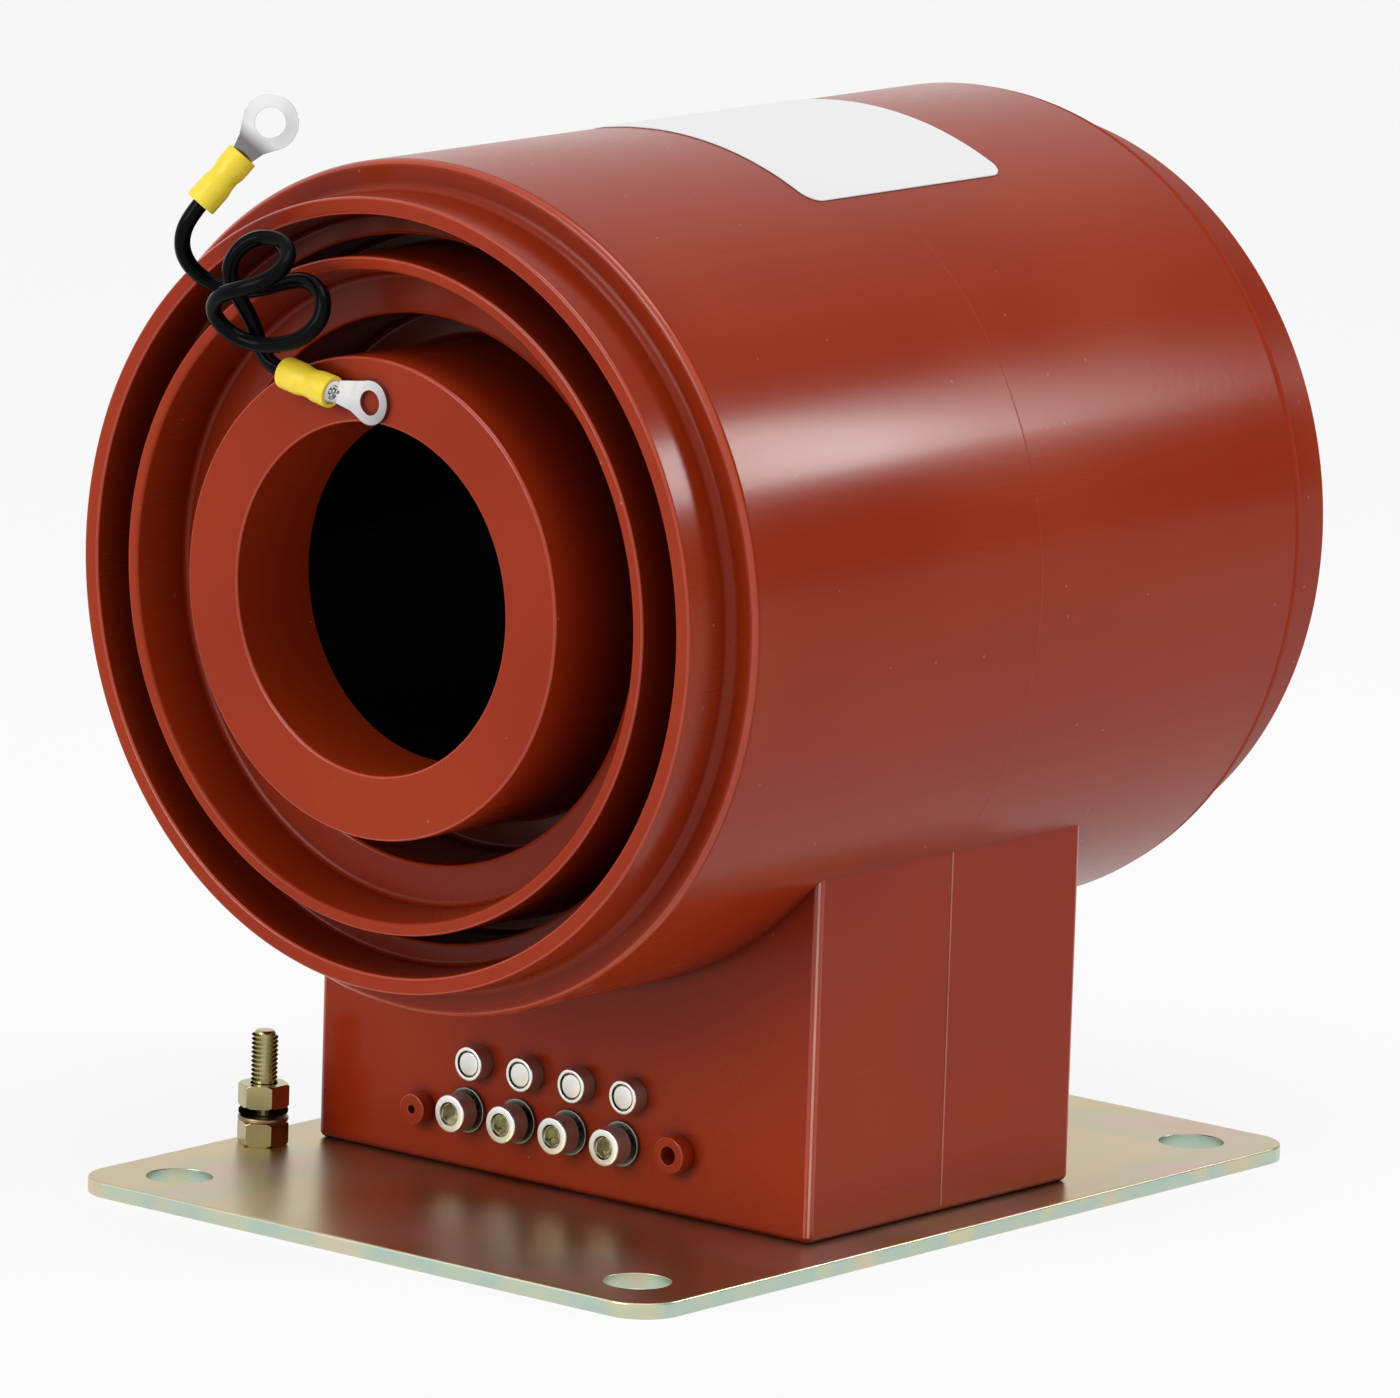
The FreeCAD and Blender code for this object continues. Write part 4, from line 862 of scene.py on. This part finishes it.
def make_terminal_screw(number, x):
    """A cap screw head with a hexagon socket, 4 mm across flats and with a bevelled mouth."""
    top, corner = 4.6, 2.3094
    head = turned([(0, 0, 0), (4.15, 0, 0.15), (4.15, top, 0.42), (0, top, 0)], 72)
    hexagon = bmesh.new()
    bmesh.ops.create_cone(
        hexagon, cap_ends=True, segments=6, radius1=corner, radius2=corner, depth=5,
        matrix=Matrix.Translation((0, 0, top)),
    )
    mouth = turned([(0, 4.2, 0), (2.25, 4.2, 0), (2.7, 4.65, 0), (0, 4.65, 0)], 48)
    cutters = [mesh_of(hexagon, "socket"), mesh_of(mouth, "mouth")]
    shape = shape_of(without("terminal_screw", mesh_of(head, "head"), cutters))
    # The head's side, the socket and its mouth get darker finishes: painted shade
    mark(shape, [(3.9, math.inf, 4.1), (0, 2.35, 4.2), (0, 2.72, 4.59)])
    show(
        f"terminal_screw_head_{number}",
        mesh_of(shape, "terminal_screw", on_front(x, -46.9, TERMINAL_HEIGHT)),
        "screw_steel", [f"terminal_screw_{number}"], smooth=25,
        finishes=["screw_steel", "screw_head_side_shaded", "socket_steel", "washer_steel"],
    )


def make_washers(number, x):
    ring = split_ring(2.75, 4.7, 0.85, 0.15, 60, start=60, soft=0.15)
    show(
        f"split_washer_{number}",
        mesh_of(ring, "split_washer", on_front(x, -45.9, TERMINAL_HEIGHT)),
        "screw_steel", [f"terminal_spring_washer_{number}"], finishes=["spring_steel"],
    )
    node = f"terminal_flat_washer_{number}"
    show(
        f"flat_washer_{number}", mesh_of(softened(node, 0.15), "flat_washer"),
        "screw_steel", [node], finishes=["washer_steel"],
    )


def make_link_screw(number, x):
    """A screw head with a round plug in its socket."""
    head = turned(
        [
            (0, 0, 0), (3.8, 0, 0.15), (3.8, 4.1, 0.38), (2.95, 4.1, 0.15), (2.95, 1.7, 0),
            (0, 1.7, 0),
        ],
        72,
    )
    # The head's side and the socket's wall round the plug get darker finishes: painted shade
    mark(head, [(3.6, math.inf, 3.7), (0, 3.0, 3.9)])
    show(
        f"link_screw_head_{number}",
        mesh_of(head, "link_screw", on_front(x, PEDESTAL_FRONT, LINK_HEIGHT)),
        "screw_steel", [f"link_screw_{number}"],
        finishes=["screw_steel", "screw_head_side_shaded", "washer_steel"],
    )
    plug = turned(
        [(0, 0, 0), (2.9, 0, 0), (2.9, 0.8, 0.1), (2.6, 0.8, 0), (2.6, 2.1, 0.2), (0, 2.1, 0)], 64
    )
    show(
        f"socket_plug_{number}", mesh_of(plug, "socket_plug", on_front(x, -46.7, LINK_HEIGHT)),
        "cap_steel", [f"socket_cap_{number}"],
    )


# Base plate and earth bolt ----------------------------------------------


def make_earth_bolt():
    core = 2.42
    shank = turned(
        [
            (0, 0, 0), (4.5, 0, 0), (4.5, 1.2, 0), (core, 1.2, 0), (core, 28.2, 0.3),
            (2.0, 29, 0.3), (0, 29, 0),
        ],
        48,
    )
    show(
        "earth_bolt", mesh_of(shank, "earth_bolt", on_earth_bolt(0)), "passivated_steel",
        ["earth_stud"],
    )
    thread = bmesh.new()
    tooth = ((2.36, 0, -0.47), (2.97, 0, -0.06), (2.97, 0, 0.06), (2.36, 0, 0.47))
    thread.faces.new([thread.verts.new(c) for c in tooth])
    turns, pitch, steps = 11, 1, 40
    swept(thread, turns, turns * pitch, turns * steps)
    show(
        "earth_bolt_thread", mesh_of(thread, "thread", on_earth_bolt(17.3)), "passivated_steel",
        ["earth_stud"],
    )
    ring = split_ring(3.1, 5.5, 1.5, 0.5, 72, start=120, soft=0.6)
    show(
        "earth_split_washer", mesh_of(ring, "earth_split_washer", on_earth_bolt(9.9)),
        "passivated_steel", ["earth_spring_washer"], finishes=["earth_washer_steel"],
    )
    for node, width, material in (
        ("earth_lower_nut", 0.22, "passivated_steel"),
        ("earth_upper_nut", 0.22, "passivated_steel"),
        ("earth_flat_washer", 0.4, "earth_washer_steel"),
    ):
        show(
            f"{node}_dressed", mesh_of(softened(node, width), f"{node}_soft"),
            "passivated_steel", [node], finishes=[material],
        )


def make_plate():
    shape = softened("base_plate", 0.35)
    for face in shape.faces:
        face.material_index = int(abs(face.normal.z) < 0.5)
    show(
        "plate", mesh_of(shape, "plate"), "plate_steel", ["base_plate"],
        finishes=["plate_steel", "plate_edge_steel"],
    )


# Camera, floor and light, in metres -------------------------------------

# The studio gets darker towards here, which the casting's gloss shows
DARK_SIDE = (0.64, 0.77, 0)


def make_camera():
    """The camera at the photograph's viewing angle."""
    camera = placed("camera", bpy.data.cameras.new("camera"))
    camera.data.lens = 306.715
    camera.data.clip_start = 0.1
    camera.data.clip_end = 50
    right = Vector((0.76708, 0.640802, 0.03099))
    up = Vector((-0.144732, 0.12579, 0.981443))
    ahead = Vector((-0.625013, 0.75733, -0.189235))
    turn = Matrix((right, up, -ahead)).transposed().to_4x4()
    camera.matrix_world = Matrix.Translation((1.624305, -1.970292, 0.598351)) @ turn
    bpy.context.scene.camera = camera


def make_floor():
    """White paper that glows as much as the background where it is seen directly."""
    shape = bmesh.new()
    bmesh.ops.create_grid(shape, x_segments=1, y_segments=1, size=6)
    mesh = bpy.data.meshes.new("floor")
    shape.to_mesh(mesh)
    shape.free()
    floor = placed("floor", mesh)
    paper = bpy.data.materials.new("floor_paper")
    paper.use_nodes = True
    tree = paper.node_tree
    matt = tree.nodes["Principled BSDF"]
    matt.inputs["Base Color"].default_value = (0.88, 0.88, 0.88, 1)
    matt.inputs["Roughness"].default_value = 0.9
    glow = add(tree, "ShaderNodeEmission", {"Color": (1, 1, 1, 1), "Strength": 1.0})
    share = math_node(tree, "MULTIPLY", seen_directly(tree), 0.86)
    mix = add(tree, "ShaderNodeMixShader", {0: share, 1: matt.outputs[0], 2: glow.outputs[0]})
    tree.links.new(mix.outputs[0], tree.nodes["Material Output"].inputs["Surface"])
    mesh.materials.append(paper)


def make_lamp(name, place, aim, width, height, power):
    lamp = bpy.data.lights.new(name, "AREA")
    lamp.shape = "RECTANGLE"
    lamp.size = width
    lamp.size_y = height
    lamp.energy = power
    holder = placed(name, lamp)
    holder.location = place
    holder.rotation_euler = (Vector(aim) - Vector(place)).to_track_quat("-Z", "Y").to_euler()


def make_room():
    """A white background that lights the object less than it shows itself."""
    room = bpy.data.worlds.new("room")
    bpy.context.scene.world = room
    room.use_nodes = True
    tree = room.node_tree
    towards = tree.nodes.new("ShaderNodeTexCoord").outputs["Generated"]
    lit = map_range(tree, dot(tree, towards, DARK_SIDE), 0.85, 0.45, 0.0, 1.0)
    plain = map_range(tree, lit, 0.0, 1.0, 0.2, 0.44)
    strength = map_range(tree, seen_directly(tree, lit), 0.0, 1.0, plain, 1.0)
    background = tree.nodes["Background"].inputs
    background["Color"].default_value = (1, 1, 1, 1)
    tree.links.new(strength, background["Strength"])


# The scene --------------------------------------------------------------

make_camera()
make_lead()
make_drum()
make_pedestal()
for side in COVER_BOSSES:
    make_cover_boss(side)
for number, (terminal, link) in enumerate(zip(TERMINAL_ROW, LINK_ROW), 1):
    make_terminal_screw(number, terminal)
    make_washers(number, terminal)
    make_link_screw(number, link)
make_earth_bolt()
make_plate()
make_floor()
make_lamp("front_softbox", (-0.35, -1.6, 0.75), (0, 0, 0.12), 1.0, 0.9, 12)
make_lamp("side_softbox", (0.68, 0.745, 0.61), (0.08, -0.07, 0.18), 0.15, 0.25, 3.7)
make_lamp("top_softbox", (0.3, -0.2, 1.6), (0, 0, 0.2), 0.8, 0.8, 6)
make_room()
bpy.context.scene.view_settings.view_transform = "Standard"
